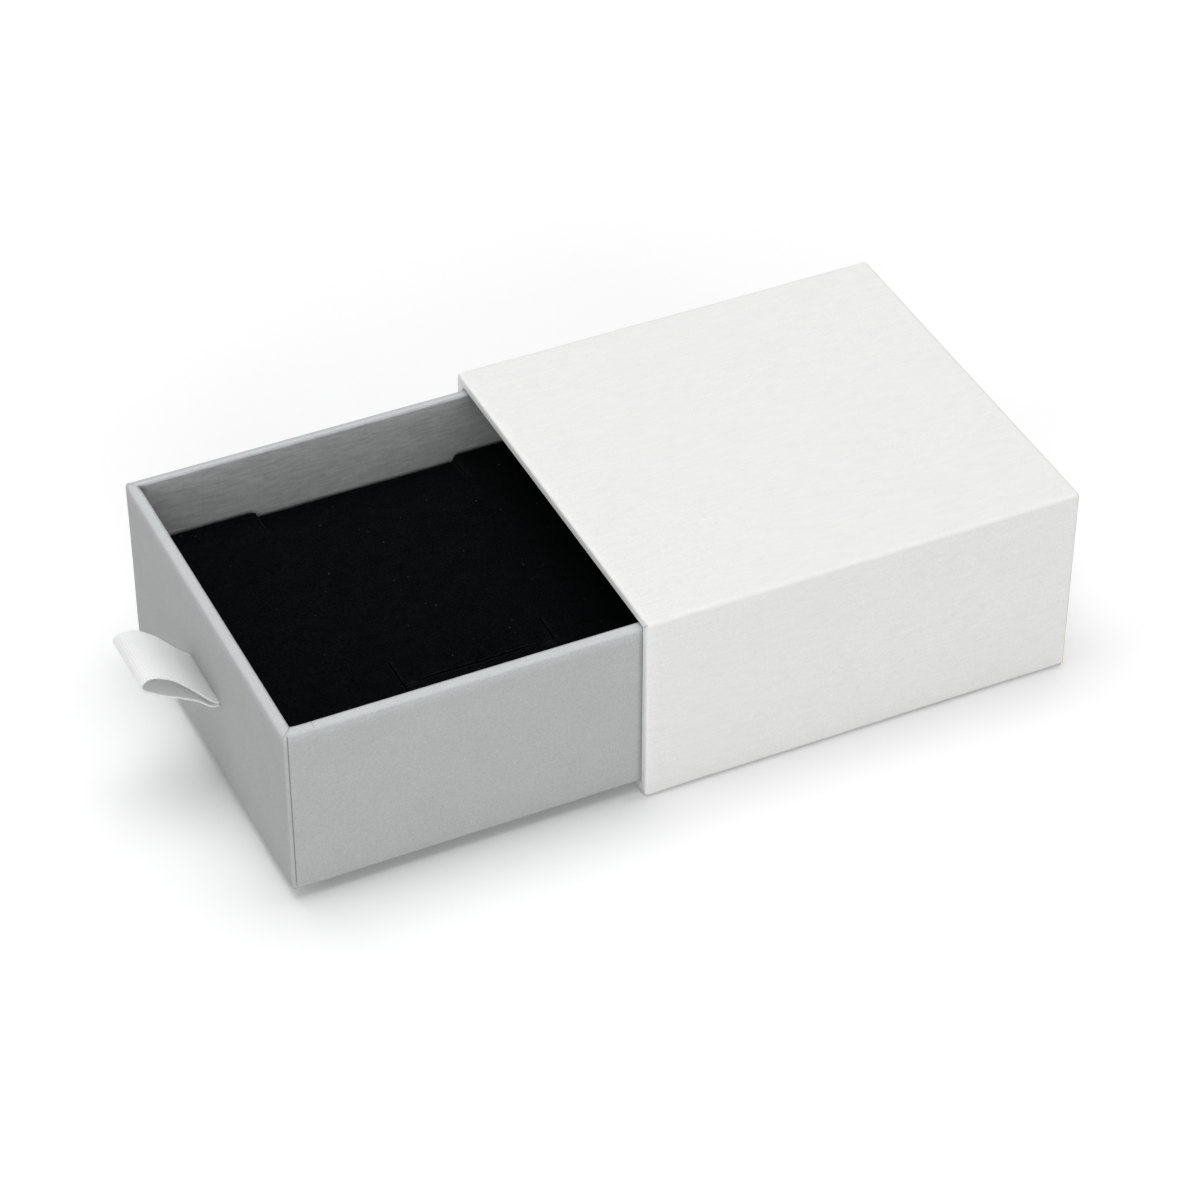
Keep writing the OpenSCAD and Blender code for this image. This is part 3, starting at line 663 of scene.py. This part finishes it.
def pad_skin():
    """The face's grid, and the loops that carry its border over the edge, down and under."""
    reach = pad_half - FACE_BORDER
    slits_x = [end - pad_middle[0] + LIP_LINES for end in (*long_ends, *edge_x)]
    slits_y = [end - pad_middle[1] + side * LIP_LINES[-3:]
               for end, side in ((cross_cut[0], -1), (cross_cut[1], 1), (edge_end, -1))]
    slits_y.append(LONG_Y - pad_middle[1] + LIP_LINES)
    lines_x = with_lines(np.linspace(-1, 1, 72)[1:-1] * reach[0], *slits_x)
    lines_y = with_lines(np.linspace(-1, 1, 66)[1:-1] * reach[1], *slits_y)
    full_x = np.concatenate([[-reach[0]], lines_x, [reach[0]]]) + pad_middle[0]
    full_y = np.concatenate([[-reach[1]], lines_y, [reach[1]]]) + pad_middle[1]
    x, y = np.meshgrid(full_x, full_y, indexing="ij")
    face = np.stack([x, y, pad_face(x, y)], axis=-1)

    top_rows = np.concatenate([
        [[FACE_BORDER, 0], [BORDER_STEP, 0]],
        quarter((PAD_ROUND, -PAD_ROUND), PAD_ROUND, 90, PAD_STEPS),
    ])
    side_share = np.linspace(1, 0, 14)[1:]
    under = np.array([
        [0.25, VELVET], [0.6, 0], [3, 0], [TURN_UNDER, 0],
        [TURN_UNDER, CARD_UP], [0.65, CARD_UP], [0.65, CARD_TOP],
    ])
    inset = np.concatenate([top_rows[:, 0], np.zeros(len(side_share)), under[:, 0]])
    radius = np.where(np.arange(len(inset)) == 0, 0, np.minimum(PAD_CORNER, FACE_BORDER - inset))
    radius = np.where(inset >= FACE_BORDER, 0.01, radius)
    columns = loop_columns(lines_x, lines_y, CORNER_STEPS)
    plan = carried_round(
        np.stack([pad_half[0] - inset, pad_half[1] - inset], axis=1), radius, columns
    )
    plan = plan + pad_middle[:2]
    surface = np.minimum(pad_face(plan[..., 0], plan[..., 1]), pad_high[2])
    height = np.empty_like(surface)
    tops, sides = len(top_rows), len(top_rows) + len(side_share)
    height[:tops] = surface[:tops] + top_rows[:, 1:]
    side_foot = pad_low[2] + VELVET
    height[tops:sides] = side_foot + side_share[:, None] * (height[tops - 1] - side_foot)
    height[sides:] = pad_low[2] + under[:, 1:]
    from_slit = abs(plan[..., 0, None] - edge_x).min(axis=-1)
    notch = (from_slit < SLIT_FOOT) & (plan[..., 1] > edge_end)
    height = np.where(notch, np.minimum(height, pad_high[2] - EDGE_DEEP), height)
    return face, np.concatenate([plan, height[..., None]], axis=-1)


pad_top, pad_loops = pad_skin()
top_faces = grid_quads(*pad_top.shape[:2])
loop_faces = grid_quads(*pad_loops.shape[:2]) + pad_top[..., 0].size
pad_points = np.concatenate([pad_top.reshape(-1, 3), pad_loops.reshape(-1, 3)])
pad_cap = np.arange(len(pad_points) - pad_loops.shape[1], len(pad_points) - 1)
# painted highlight: the slits' lips and the lifted flaps are paler where the velvet's fuzz catches
# the light
lips = np.zeros(len(pad_points))
for away, _ in slit_distances(pad_points[:, 0], pad_points[:, 1]):
    lips = np.maximum(lips, bell(away, LIP_HIGHLIGHT_WIDTH))
for end, inward in zip(long_ends, (1, -1)):
    flap = pad_points[:, :2] - [end + FLAP_IN * inward, LONG_Y + FLAP_ASIDE]
    on_face = pad_points[:, 2] > pad_high[2] - 1
    lips = np.maximum(lips, bell(np.hypot(*flap.T), FLAP_WIDE) * on_face)
pad_cushion = make_mesh(
    "pad_cushion", pad_points, top_faces.tolist() + loop_faces.tolist() + [pad_cap.tolist()],
    None, {"lip_highlight": lips},
)
pad_cushion.data.set_sharp_from_angle(angle=math.radians(65))
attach(pad_cushion, "drawer")
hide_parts("pad_velvet", "pad_foam")
print("pad faces:", len(pad_cushion.data.polygons))

# %% [markdown]
# ## Finishes: small helpers for nodes
# Every finish is made of nodes, so it has the same detail at any distance and from any side. A few
# helpers keep the recipes short. One adds a node and feeds its sockets, and small ones on top of it
# reckon, stretch, mix and scatter. The last starts a node group, which is a finish's shared effect
# with its own named inputs and outputs.

# %% Tools: nodes and groups
def feed(tree, socket, value):
    """Links a socket to another, or sets its value."""
    if isinstance(value, bpy.types.NodeSocket):
        tree.links.new(value, socket)
    else:
        socket.default_value = value


def add(tree, kind, values=(), props=None, **named):
    """A node with its settings; values feed its sockets in order, and named ones by their names,
    where an underscore stands for a space."""
    made = tree.nodes.new("ShaderNode" + kind)
    for key, value in (props or {}).items():
        setattr(made, key, value)
    for socket, value in zip(made.inputs, values):
        feed(tree, socket, value)
    for key, value in named.items():
        feed(tree, made.inputs[key.replace("_", " ")], value)
    return made


def reckon(tree, operation, *values):
    """Result of a Math node."""
    return add(tree, "Math", values, {"operation": operation}).outputs[0]


def stretched(tree, place, factors):
    """A place multiplied by one factor for each axis, which squeezes a pattern along that axis."""
    return add(tree, "VectorMath", (place, factors), {"operation": "MULTIPLY"}).outputs[0]


def scaled(tree, vector, factor):
    """Vector or colour times one factor."""
    return add(tree, "VectorMath", (vector,), {"operation": "SCALE"}, Scale=factor).outputs[0]


def smooth_rise(tree, value, start, end, low=0.0, high=1.0):
    """Smooth step from low at the start to high at the end, and level outside them."""
    return add(tree, "MapRange", props={"interpolation_type": "SMOOTHSTEP"}, Value=value,
               From_Min=start, From_Max=end, To_Min=low, To_Max=high).outputs[0]


def noise(tree, place, scale, detail=2.0, rough=0.55):
    """Noise of about this many lumps a millimetre, centred on 0, from about -1 to 1."""
    made = add(tree, "TexNoise", Vector=place, Scale=scale, Detail=detail, Roughness=rough)
    return reckon(tree, "MULTIPLY_ADD", made.outputs["Fac"], 4.0, -2.0)


def mixed(tree, share, first, second):
    """Colour between two colours."""
    made = add(tree, "Mix", props={"data_type": "RGBA"})
    for index, value in ((0, share), (6, first), (7, second)):
        feed(tree, made.inputs[index], value)
    return made.outputs[2]


def scattered(tree, place, density, widest):
    """Round dots of many sizes in every other cell of a Voronoi pattern: their mask, and one more
    random value for each cell."""
    cells = add(tree, "TexVoronoi", Vector=place, Scale=density)
    chance = add(tree, "SeparateColor", (cells.outputs["Color"],)).outputs
    size = reckon(tree, "MULTIPLY", chance[1], widest)
    dot = reckon(tree, "LESS_THAN", cells.outputs["Distance"], size)
    return reckon(tree, "MULTIPLY", dot, reckon(tree, "GREATER_THAN", chance[0], 0.5)), chance[2]


def start_group(name, inputs, outputs):
    """Node group with named sockets of these kinds: returns it with its inner ends."""
    group = bpy.data.node_groups.new(name, "ShaderNodeTree")
    for in_out, sockets in (("INPUT", inputs), ("OUTPUT", outputs)):
        for title, kind in sockets.items():
            group.interface.new_socket(title, in_out=in_out, socket_type="NodeSocket" + kind)
    inner_start = group.nodes.new("NodeGroupInput").outputs
    return group, inner_start, group.nodes.new("NodeGroupOutput").inputs


def grey(level):
    """Neutral colour."""
    return (level, level, level, 1.0)

# %% [markdown]
# ## The paper effect
# Uncoated wrapping paper shows four things close up: a fine even grain, streaks where the fibres
# lie along the machine's direction, a very slow mottle, and a few dark specks. One group makes all
# four from a place in millimetres, and each paper sets how strong they are.

# %% Paper effect
GRAIN_SCALE, STREAK_SCALE, MOTTLE_SCALE = 5.5, 1.0, 0.16
ALONG_FIBRES, ACROSS_FIBRES, ACROSS_SHARE = (0.38, 2.1, 2.1), (2.0, 0.2, 0.2), 0.15
SPECKS_A_MM, SPECK_WIDEST = 0.42, 0.045

paper_fibres, given, result = start_group(
    "paper_fibres",
    {"Place": "Vector", "Colour": "Color", "Grain": "Float", "Streaks": "Float",
     "Mottle": "Float", "Specks": "Float"},
    {"Colour": "Color", "Height": "Float"},
)
work = partial(reckon, paper_fibres)
place = given["Place"]
fine = noise(paper_fibres, place, GRAIN_SCALE, 2.0, 0.7)
along = noise(paper_fibres, stretched(paper_fibres, place, ALONG_FIBRES), STREAK_SCALE, 2.0, 0.6)
across = noise(paper_fibres, stretched(paper_fibres, place, ACROSS_FIBRES), STREAK_SCALE)
cloud = noise(paper_fibres, place, MOTTLE_SCALE)
streak = work("MULTIPLY_ADD", across, ACROSS_SHARE, along)
shade = work("MULTIPLY_ADD", fine, given["Grain"], 1.0)
shade = work("MULTIPLY_ADD", streak, given["Streaks"], shade)
shade = work("MULTIPLY_ADD", cloud, given["Mottle"], shade)
speck, _ = scattered(paper_fibres, place, SPECKS_A_MM, SPECK_WIDEST)
shade = work("MULTIPLY", shade, work("SUBTRACT", 1.0, work("MULTIPLY", speck, given["Specks"])))
feed(paper_fibres, result["Colour"], scaled(paper_fibres, given["Colour"], shade))
feed(paper_fibres, result["Height"], work("MULTIPLY_ADD", streak, 0.5, fine))
print("paper effect:", len(paper_fibres.nodes), "nodes")

# %% [markdown]
# ## Papers
# A material holds the shader and picks the effect's strengths. The wraps also read masks that
# were stored with their points: the rim, painted paler as a painted highlight where it catches the
# light; the creases, darkened with painted shade; and the drawer's inside, darkened with painted
# shade of its hollow, whose streaks are made strong as painted shade of the paper's ridges under
# raking light.

# %% Paper materials
def start_material(name, roughness, specular):
    """Material with a Principled shader and a place in millimetres from the object's own axes."""
    material = bpy.data.materials.new(name)
    material.use_nodes = True
    tree = material.node_tree
    shader = next(n for n in tree.nodes if n.type == "BSDF_PRINCIPLED")
    shader.inputs["Roughness"].default_value = roughness
    shader.inputs["Specular IOR Level"].default_value = specular
    place = scaled(tree, add(tree, "TexCoord").outputs["Object"], 1 / MM)
    return material, tree, shader, place


def bump(tree, shader, height, depth_mm):
    """Small relief: the height times this depth bends the shader's normal."""
    made = add(tree, "Bump", Height=height, Strength=1.0, Distance=depth_mm * MM)
    tree.links.new(made.outputs[0], shader.inputs["Normal"])


def attribute(tree, name):
    """Mask stored with a piece's points."""
    return add(tree, "Attribute", props={"attribute_name": name}).outputs["Fac"]


def paper(name, colour, grain, streaks, mottle, specks, relief, roughness=0.75, specular=0.35,
          rim=None, crease_shade=None, inside_shade=None, inside_streaks_and_shade=None):
    """Paper material: the fibre effect over a colour, with a rim painted paler as a painted
    highlight, creases and an inside darkened with painted shade, and stronger streaks inside as
    painted shade of the paper's ridges, where the piece has those masks."""
    material, tree, shader, place = start_material(name, roughness, specular)
    base, strength = (*colour, 1.0), streaks
    # painted highlight on the rim, painted shade on the creases and inside, and stronger streaks
    # inside, painted shade of the paper's ridges
    if rim is not None:
        base = mixed(tree, attribute(tree, "edge"), base, (*rim, 1.0))
    if crease_shade is not None:
        base = mixed(tree, attribute(tree, "crease_shade"), base, (*crease_shade, 1.0))
    if inside_shade is not None:
        shade = reckon(tree, "MULTIPLY_ADD", attribute(tree, "inside"), inside_shade - 1.0, 1.0)
        base = scaled(tree, base, shade)
    if inside_streaks_and_shade is not None:
        more = inside_streaks_and_shade - streaks
        strength = reckon(tree, "MULTIPLY_ADD", attribute(tree, "inside"), more, streaks)
    fibres = add(tree, "Group", props={"node_tree": paper_fibres}, Place=place, Colour=base,
                 Grain=grain, Streaks=strength, Mottle=mottle, Specks=specks)
    tree.links.new(fibres.outputs["Colour"], shader.inputs["Base Color"])
    bump(tree, shader, fibres.outputs["Height"], relief)
    return material


# the rim colour here is a painted highlight at the mouth's edge, and the crease colour is painted
# shade on the mitre creases
white_wrap_paper = paper(
    "white_wrap_paper", (0.855, 0.855, 0.85),
    grain=0.08, streaks=0.022, mottle=0.006, specks=0.25, relief=0.004,
    rim=(0.93, 0.93, 0.925), crease_shade=(0.60, 0.60, 0.59),
)
# the rim colour is a painted highlight, the crease colour and the inside's darkening are painted
# shade, and the stronger inside streaks are painted shade of the paper's ridges
grey_wrap_paper = paper(
    "grey_wrap_paper", (0.483, 0.497, 0.496),
    grain=0.14, streaks=0.014, mottle=0.02, specks=0.4, relief=0.006,
    rim=(0.585, 0.602, 0.608), crease_shade=(0.22, 0.23, 0.23), inside_shade=0.79, inside_streaks_and_shade=0.16,
)
# the sheets inside: colour, then grain, streaks, mottle, specks and relief in the same order
white_sheet_paper = paper("white_sheet_paper", (0.82, 0.82, 0.81), 0.016, 0.01, 0.008, 0.3, 0.004)
sleeve_lining = paper("sleeve_lining", (0.76, 0.76, 0.75), 0.02, 0.02, 0.01, 0.3, 0.005)
drawer_lining = paper("drawer_lining", (0.44, 0.455, 0.455), 0.03, 0.02, 0.02, 0.4, 0.005)
patch_paper = paper("patch_paper", (0.40, 0.415, 0.415), 0.04, 0.03, 0.02, 0.4, 0.006)
print("papers:", [material.name for material in bpy.data.materials if "paper" in material.name])

# %% [markdown]
# ## Board and tape
# Grey board is pressed from waste paper, so its cut edges show lumps and flecks. The corners are
# held by brown paper tape, which has strong lengthwise fibres and a slight gloss from its gum.
# Both hide under the wraps; only a cut edge in the ribbon's slit can be seen.

# %% Board, tape and card materials
grey_board = paper(
    "grey_board", (0.52, 0.49, 0.43), 0.12, 0.05, 0.06, 0.7, 0.02, roughness=0.9, specular=0.2
)
kraft_tape = paper(
    "kraft_tape", (0.60, 0.46, 0.30), 0.05, 0.09, 0.05, 0.4, 0.008, roughness=0.5, specular=0.5
)
black_card = paper(
    "black_card", (0.035, 0.035, 0.035), 0.12, 0.08, 0.05, 0.2, 0.008, roughness=0.8, specular=0.2
)

# %% [markdown]
# ## The ribbon's weave
# The ribbon is ribbed: fine ribs run across it and cords run along it. Both are sine waves of the
# ribbon's own UV map, so they follow every bend, and noise keeps them from being perfect. A row of
# beads thickens each woven edge. Light goes a little way into the threads, so the cloth looks soft.

# %% Ribbon material
RIB, RIB_SWAY = 0.42, 0.03
CORD, CORD_SWAY, CORD_WEIGHT = 0.5, 0.05, 0.9
BEAD_WEIGHT, EDGE_STANDS_UP = 1.6, 0.5
EDGE_FROM, EDGE_TO = 0.925, 0.955
RIBBON_WHITE = (0.98, 0.982, 0.985)
SHADE_LEVEL, SHADE_SWING, WEAVE_DEPTH = 0.97, 0.045, 0.008
LIGHT_REACH = 0.5

ribbed_weave, given, result = start_group(
    "ribbed_weave", {"UV": "Vector", "Rib": "Float", "Cord": "Float", "Half width": "Float"},
    {"Height": "Float", "Shade": "Float"},
)
work = partial(reckon, ribbed_weave)
length_way, width_way, _ = add(ribbed_weave, "SeparateXYZ", (given["UV"],)).outputs
wander = noise(ribbed_weave, given["UV"], 0.8)


def threads_along(way, sway, pitch):
    """Sine wave of one pitch, whose place sways with the noise: sin(2 pi (way + sway) / pitch)."""
    phase = work("DIVIDE", work("MULTIPLY_ADD", wander, sway, way), pitch)
    return work("SINE", work("MULTIPLY", phase, 2 * math.pi))


rib = threads_along(length_way, RIB_SWAY, given["Rib"])
cord = threads_along(width_way, CORD_SWAY, given["Cord"])
weave = work("MULTIPLY_ADD", cord, CORD_WEIGHT, rib)
from_middle = work("DIVIDE", work("ABSOLUTE", width_way), given["Half width"])
woven_edge = smooth_rise(ribbed_weave, from_middle, EDGE_FROM, EDGE_TO)
bead = work("SINE", work("MULTIPLY", length_way, 2 * math.pi / SCALLOP_STEP))
beads = work("MULTIPLY_ADD", bead, BEAD_WEIGHT, EDGE_STANDS_UP)
weave = work("MULTIPLY_ADD", beads, woven_edge, weave)
loose = noise(ribbed_weave, given["UV"], 2.5, 3.0)
feed(ribbed_weave, result["Height"], weave)
feed(ribbed_weave, result["Shade"], work("MULTIPLY_ADD", loose, 0.5, weave))

white_ribbon, tree, shader, _ = start_material("white_ribbon", 0.5, 0.6)
for name, value in (("Sheen Weight", 0.45), ("Subsurface Weight", 1.0),
                    ("Subsurface Radius", (1.0, 1.0, 1.0)), ("Subsurface Scale", LIGHT_REACH * MM)):
    shader.inputs[name].default_value = value
cloth_uv = add(tree, "UVMap", props={"uv_map": "UVMap"}).outputs["UV"]
threads = add(tree, "Group", props={"node_tree": ribbed_weave}, UV=cloth_uv, Rib=RIB, Cord=CORD,
              Half_width=RIBBON_WIDTH / 2)
shade = reckon(tree, "MULTIPLY_ADD", threads.outputs["Shade"], SHADE_SWING, SHADE_LEVEL)
feed(tree, shader.inputs["Base Color"], scaled(tree, RIBBON_WHITE, shade))
bump(tree, shader, threads.outputs["Height"], WEAVE_DEPTH)
print("ribbon weave:", len(ribbed_weave.nodes), "nodes")

# %% [markdown]
# ## Velvet
# Black velvet swallows light: its pile stands up, so almost nothing comes back but a faint fuzz and
# the lint that it collects. The pile is fine noise, the lint is a sparse scatter of pale dots, and
# the cut lips of the slits and the flaps beside the long slit are a little paler: a painted
# highlight where the fuzz catches the light.

# %% Velvet material
FUZZ_SCALE, FUZZ_SWING = 3.4, 1.5
NAP_STRETCH, NAP_SCALE, NAP_SWING = (0.5, 0.9, 0.5), 0.6, 0.2
DARKEST, PILE_DEPTH = 0.2, 0.03
LINT_A_MM, LINT_WIDEST = 0.85, 0.13
# the lips' colour is a painted highlight, mixed in by this share
PILE_BLACK, LIP_HIGHLIGHT_BLACK, LIP_HIGHLIGHT_SHARE = (0.0027, 0.0033, 0.0036, 1), (0.011, 0.0115, 0.012, 1), 0.8
LINT_GREY = (0.04, 0.041, 0.042, 1)

velvet_pile, given, result = start_group(
    "velvet_pile", {"Place": "Vector", "Colour": "Color", "Lint": "Color"},
    {"Colour": "Color", "Height": "Float"},
)
work = partial(reckon, velvet_pile)
fuzz = noise(velvet_pile, given["Place"], FUZZ_SCALE, 3.0, 0.8)
nap = noise(velvet_pile, stretched(velvet_pile, given["Place"], NAP_STRETCH), NAP_SCALE)
shade = work("MULTIPLY_ADD", fuzz, FUZZ_SWING, work("MULTIPLY_ADD", nap, NAP_SWING, 1.0))
pile = scaled(velvet_pile, given["Colour"], work("MAXIMUM", shade, DARKEST))
dot, paleness = scattered(velvet_pile, given["Place"], LINT_A_MM, LINT_WIDEST)
lint = work("MULTIPLY", dot, paleness)
feed(velvet_pile, result["Colour"], mixed(velvet_pile, lint, pile, given["Lint"]))
feed(velvet_pile, result["Height"], fuzz)

black_velvet, tree, shader, place = start_material("black_velvet", 1.0, 0.03)
# painted highlight at the slits' lips and the flaps
at_lip_highlight = reckon(tree, "MULTIPLY", attribute(tree, "lip_highlight"), LIP_HIGHLIGHT_SHARE)
piled = add(tree, "Group", props={"node_tree": velvet_pile}, Place=place,
            Colour=mixed(tree, at_lip_highlight, PILE_BLACK, LIP_HIGHLIGHT_BLACK), Lint=LINT_GREY)
feed(tree, shader.inputs["Base Color"], piled.outputs["Colour"])
bump(tree, shader, piled.outputs["Height"], PILE_DEPTH)
print("velvet pile:", len(velvet_pile.nodes), "nodes")

# %% [markdown]
# ## Dressing every piece
# Each new piece takes its finish, and every CAD node that still shows gets one as well. Assigning
# to a node's material slots changes its look only: its mesh and its place stay the CAD's.

# %% Give out the finishes
def dress(piece, material):
    """One material on all of a piece."""
    if piece.data.materials:
        for index in range(len(piece.data.materials)):
            piece.data.materials[index] = material
    else:
        piece.data.materials.append(material)


for piece, material in ((sleeve_wrap, white_wrap_paper), (drawer_wrap, grey_wrap_paper),
                        (ribbon_loop, white_ribbon), (pad_cushion, black_velvet)):
    dress(piece, material)

node_finish = {
    "board": grey_board, "tape": kraft_tape, "base_paper": white_sheet_paper,
    "back_paper": white_sheet_paper, "lining_paper": sleeve_lining, "floor_paper": drawer_lining,
    "patch": patch_paper, "pad_card": black_card, "cover_paper": white_wrap_paper,
    "ribbon_pull": white_ribbon, "pad_foam": black_velvet, "pad_velvet": black_velvet,
}
for name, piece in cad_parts.items():
    finish = next(material for part, material in node_finish.items() if part in name)
    dress(piece, grey_wrap_paper if name == "drawer_cover_paper" else finish)
print("dressed", len(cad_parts), "CAD nodes")

# %% [markdown]
# ## The studio
# The box stands on a white surface that runs out of the picture. Three wide soft lamps hang almost
# overhead, behind, to the right and to the left, so that the shadows are short and soft. Two low
# lamps light the near side, one lights the drawer's front, and a bright band round the horizon
# fills the rest. Together they light a level surface with about as much light as it takes for a
# colour to render as it is written. The floor shows whiter to the camera than it is, and plain
# white far from the box, so that it reads as a white background and still keeps the box's shadow.

# %% Studio: floor and sky
FLOOR_SEEN, FLOOR_REAL = 1.07, 0.70
FLOOR_SIZE = 6.0
WHITE_FROM, WHITE_AT = 0.18, 0.45
BAND_LIGHT, HIGH_LIGHT = 0.46, 0.23
BAND_FULL, BAND_END = 0.30, 0.55

floor_mesh = bpy.data.meshes.new("floor")
floor_corners = np.array([(-1, -1, 0), (1, -1, 0), (1, 1, 0), (-1, 1, 0)]) * FLOOR_SIZE / 2
floor_mesh.from_pydata(floor_corners.tolist(), [], [(0, 1, 2, 3)])
floor = put("floor", floor_mesh)
floor_white = bpy.data.materials.new("floor_white")
floor_white.use_nodes = True
tree = floor_white.node_tree
tree.nodes.clear()
ray = add(tree, "LightPath").outputs
mirrored = reckon(tree, "MAXIMUM", ray["Is Glossy Ray"], ray["Is Transmission Ray"])
shown = reckon(tree, "MAXIMUM", ray["Is Camera Ray"], mirrored)
lit = add(tree, "BsdfDiffuse", Color=mixed(tree, shown, grey(FLOOR_REAL), grey(FLOOR_SEEN)))
flat_place = stretched(tree, add(tree, "NewGeometry").outputs["Position"], (1, 1, 0))
away = add(tree, "VectorMath", (flat_place,), {"operation": "LENGTH"}).outputs["Value"]
far_off = reckon(tree, "MULTIPLY", smooth_rise(tree, away, WHITE_FROM, WHITE_AT), shown)
plain_white = add(tree, "Emission", (grey(1.0),))
surface = add(tree, "MixShader", (far_off, lit.outputs[0], plain_white.outputs[0]))
add(tree, "OutputMaterial", Surface=surface.outputs[0])
floor_mesh.materials.append(floor_white)

world = bpy.data.worlds.new("studio")
scene.world = world
world.use_nodes = True
tree = world.node_tree
tree.nodes.clear()
height = add(tree, "SeparateXYZ", (add(tree, "TexCoord").outputs["Generated"],)).outputs[2]
band = smooth_rise(tree, height, BAND_FULL, BAND_END, BAND_LIGHT, HIGH_LIGHT)
ray = add(tree, "LightPath").outputs
shown = reckon(tree, "MAXIMUM", ray["Is Camera Ray"], ray["Is Transmission Ray"])
sky = add(tree, "Background", Color=mixed(tree, shown, band, grey(1.0)), Strength=1.0)
add(tree, "OutputWorld", Surface=sky.outputs[0])
print("sky:", BAND_LIGHT, "round the horizon,", HIGH_LIGHT, "overhead")

# %% Studio: lamps
BOX_MIDDLE = (-0.03, 0, 0.015)


def soft_lamp(name, place, size, power):
    """Square area lamp that faces the box's middle, with its place and size in metres and its
    power in watts."""
    data = bpy.data.lights.new(name, "AREA")
    data.shape, data.size, data.energy = "SQUARE", size, power
    away = np.array(place) - BOX_MIDDLE
    away = away / np.linalg.norm(away)
    side = np.cross([0, 0, 1], away)
    side /= np.linalg.norm(side)
    put(name, data, (side, np.cross(away, side), away), place)


soft_lamp("overhead_far", (0.10, 0.35, 1.0), 0.9, 2.25)
soft_lamp("overhead_right", (0.40, 0.05, 0.95), 0.8, 1.60)
soft_lamp("overhead_left", (-0.20, 0.15, 1.05), 0.8, 4.00)
soft_lamp("low_near", (0.10, -1.10, 0.35), 0.6, 2.42)
soft_lamp("low_corner", (-0.50, -1.00, 0.40), 0.6, 2.75)
soft_lamp("low_left", (-1.05, 0.10, 0.62), 0.6, 1.30)
scene.view_settings.view_transform = "Standard"
print("lamps:", [light.name for light in bpy.data.lights])
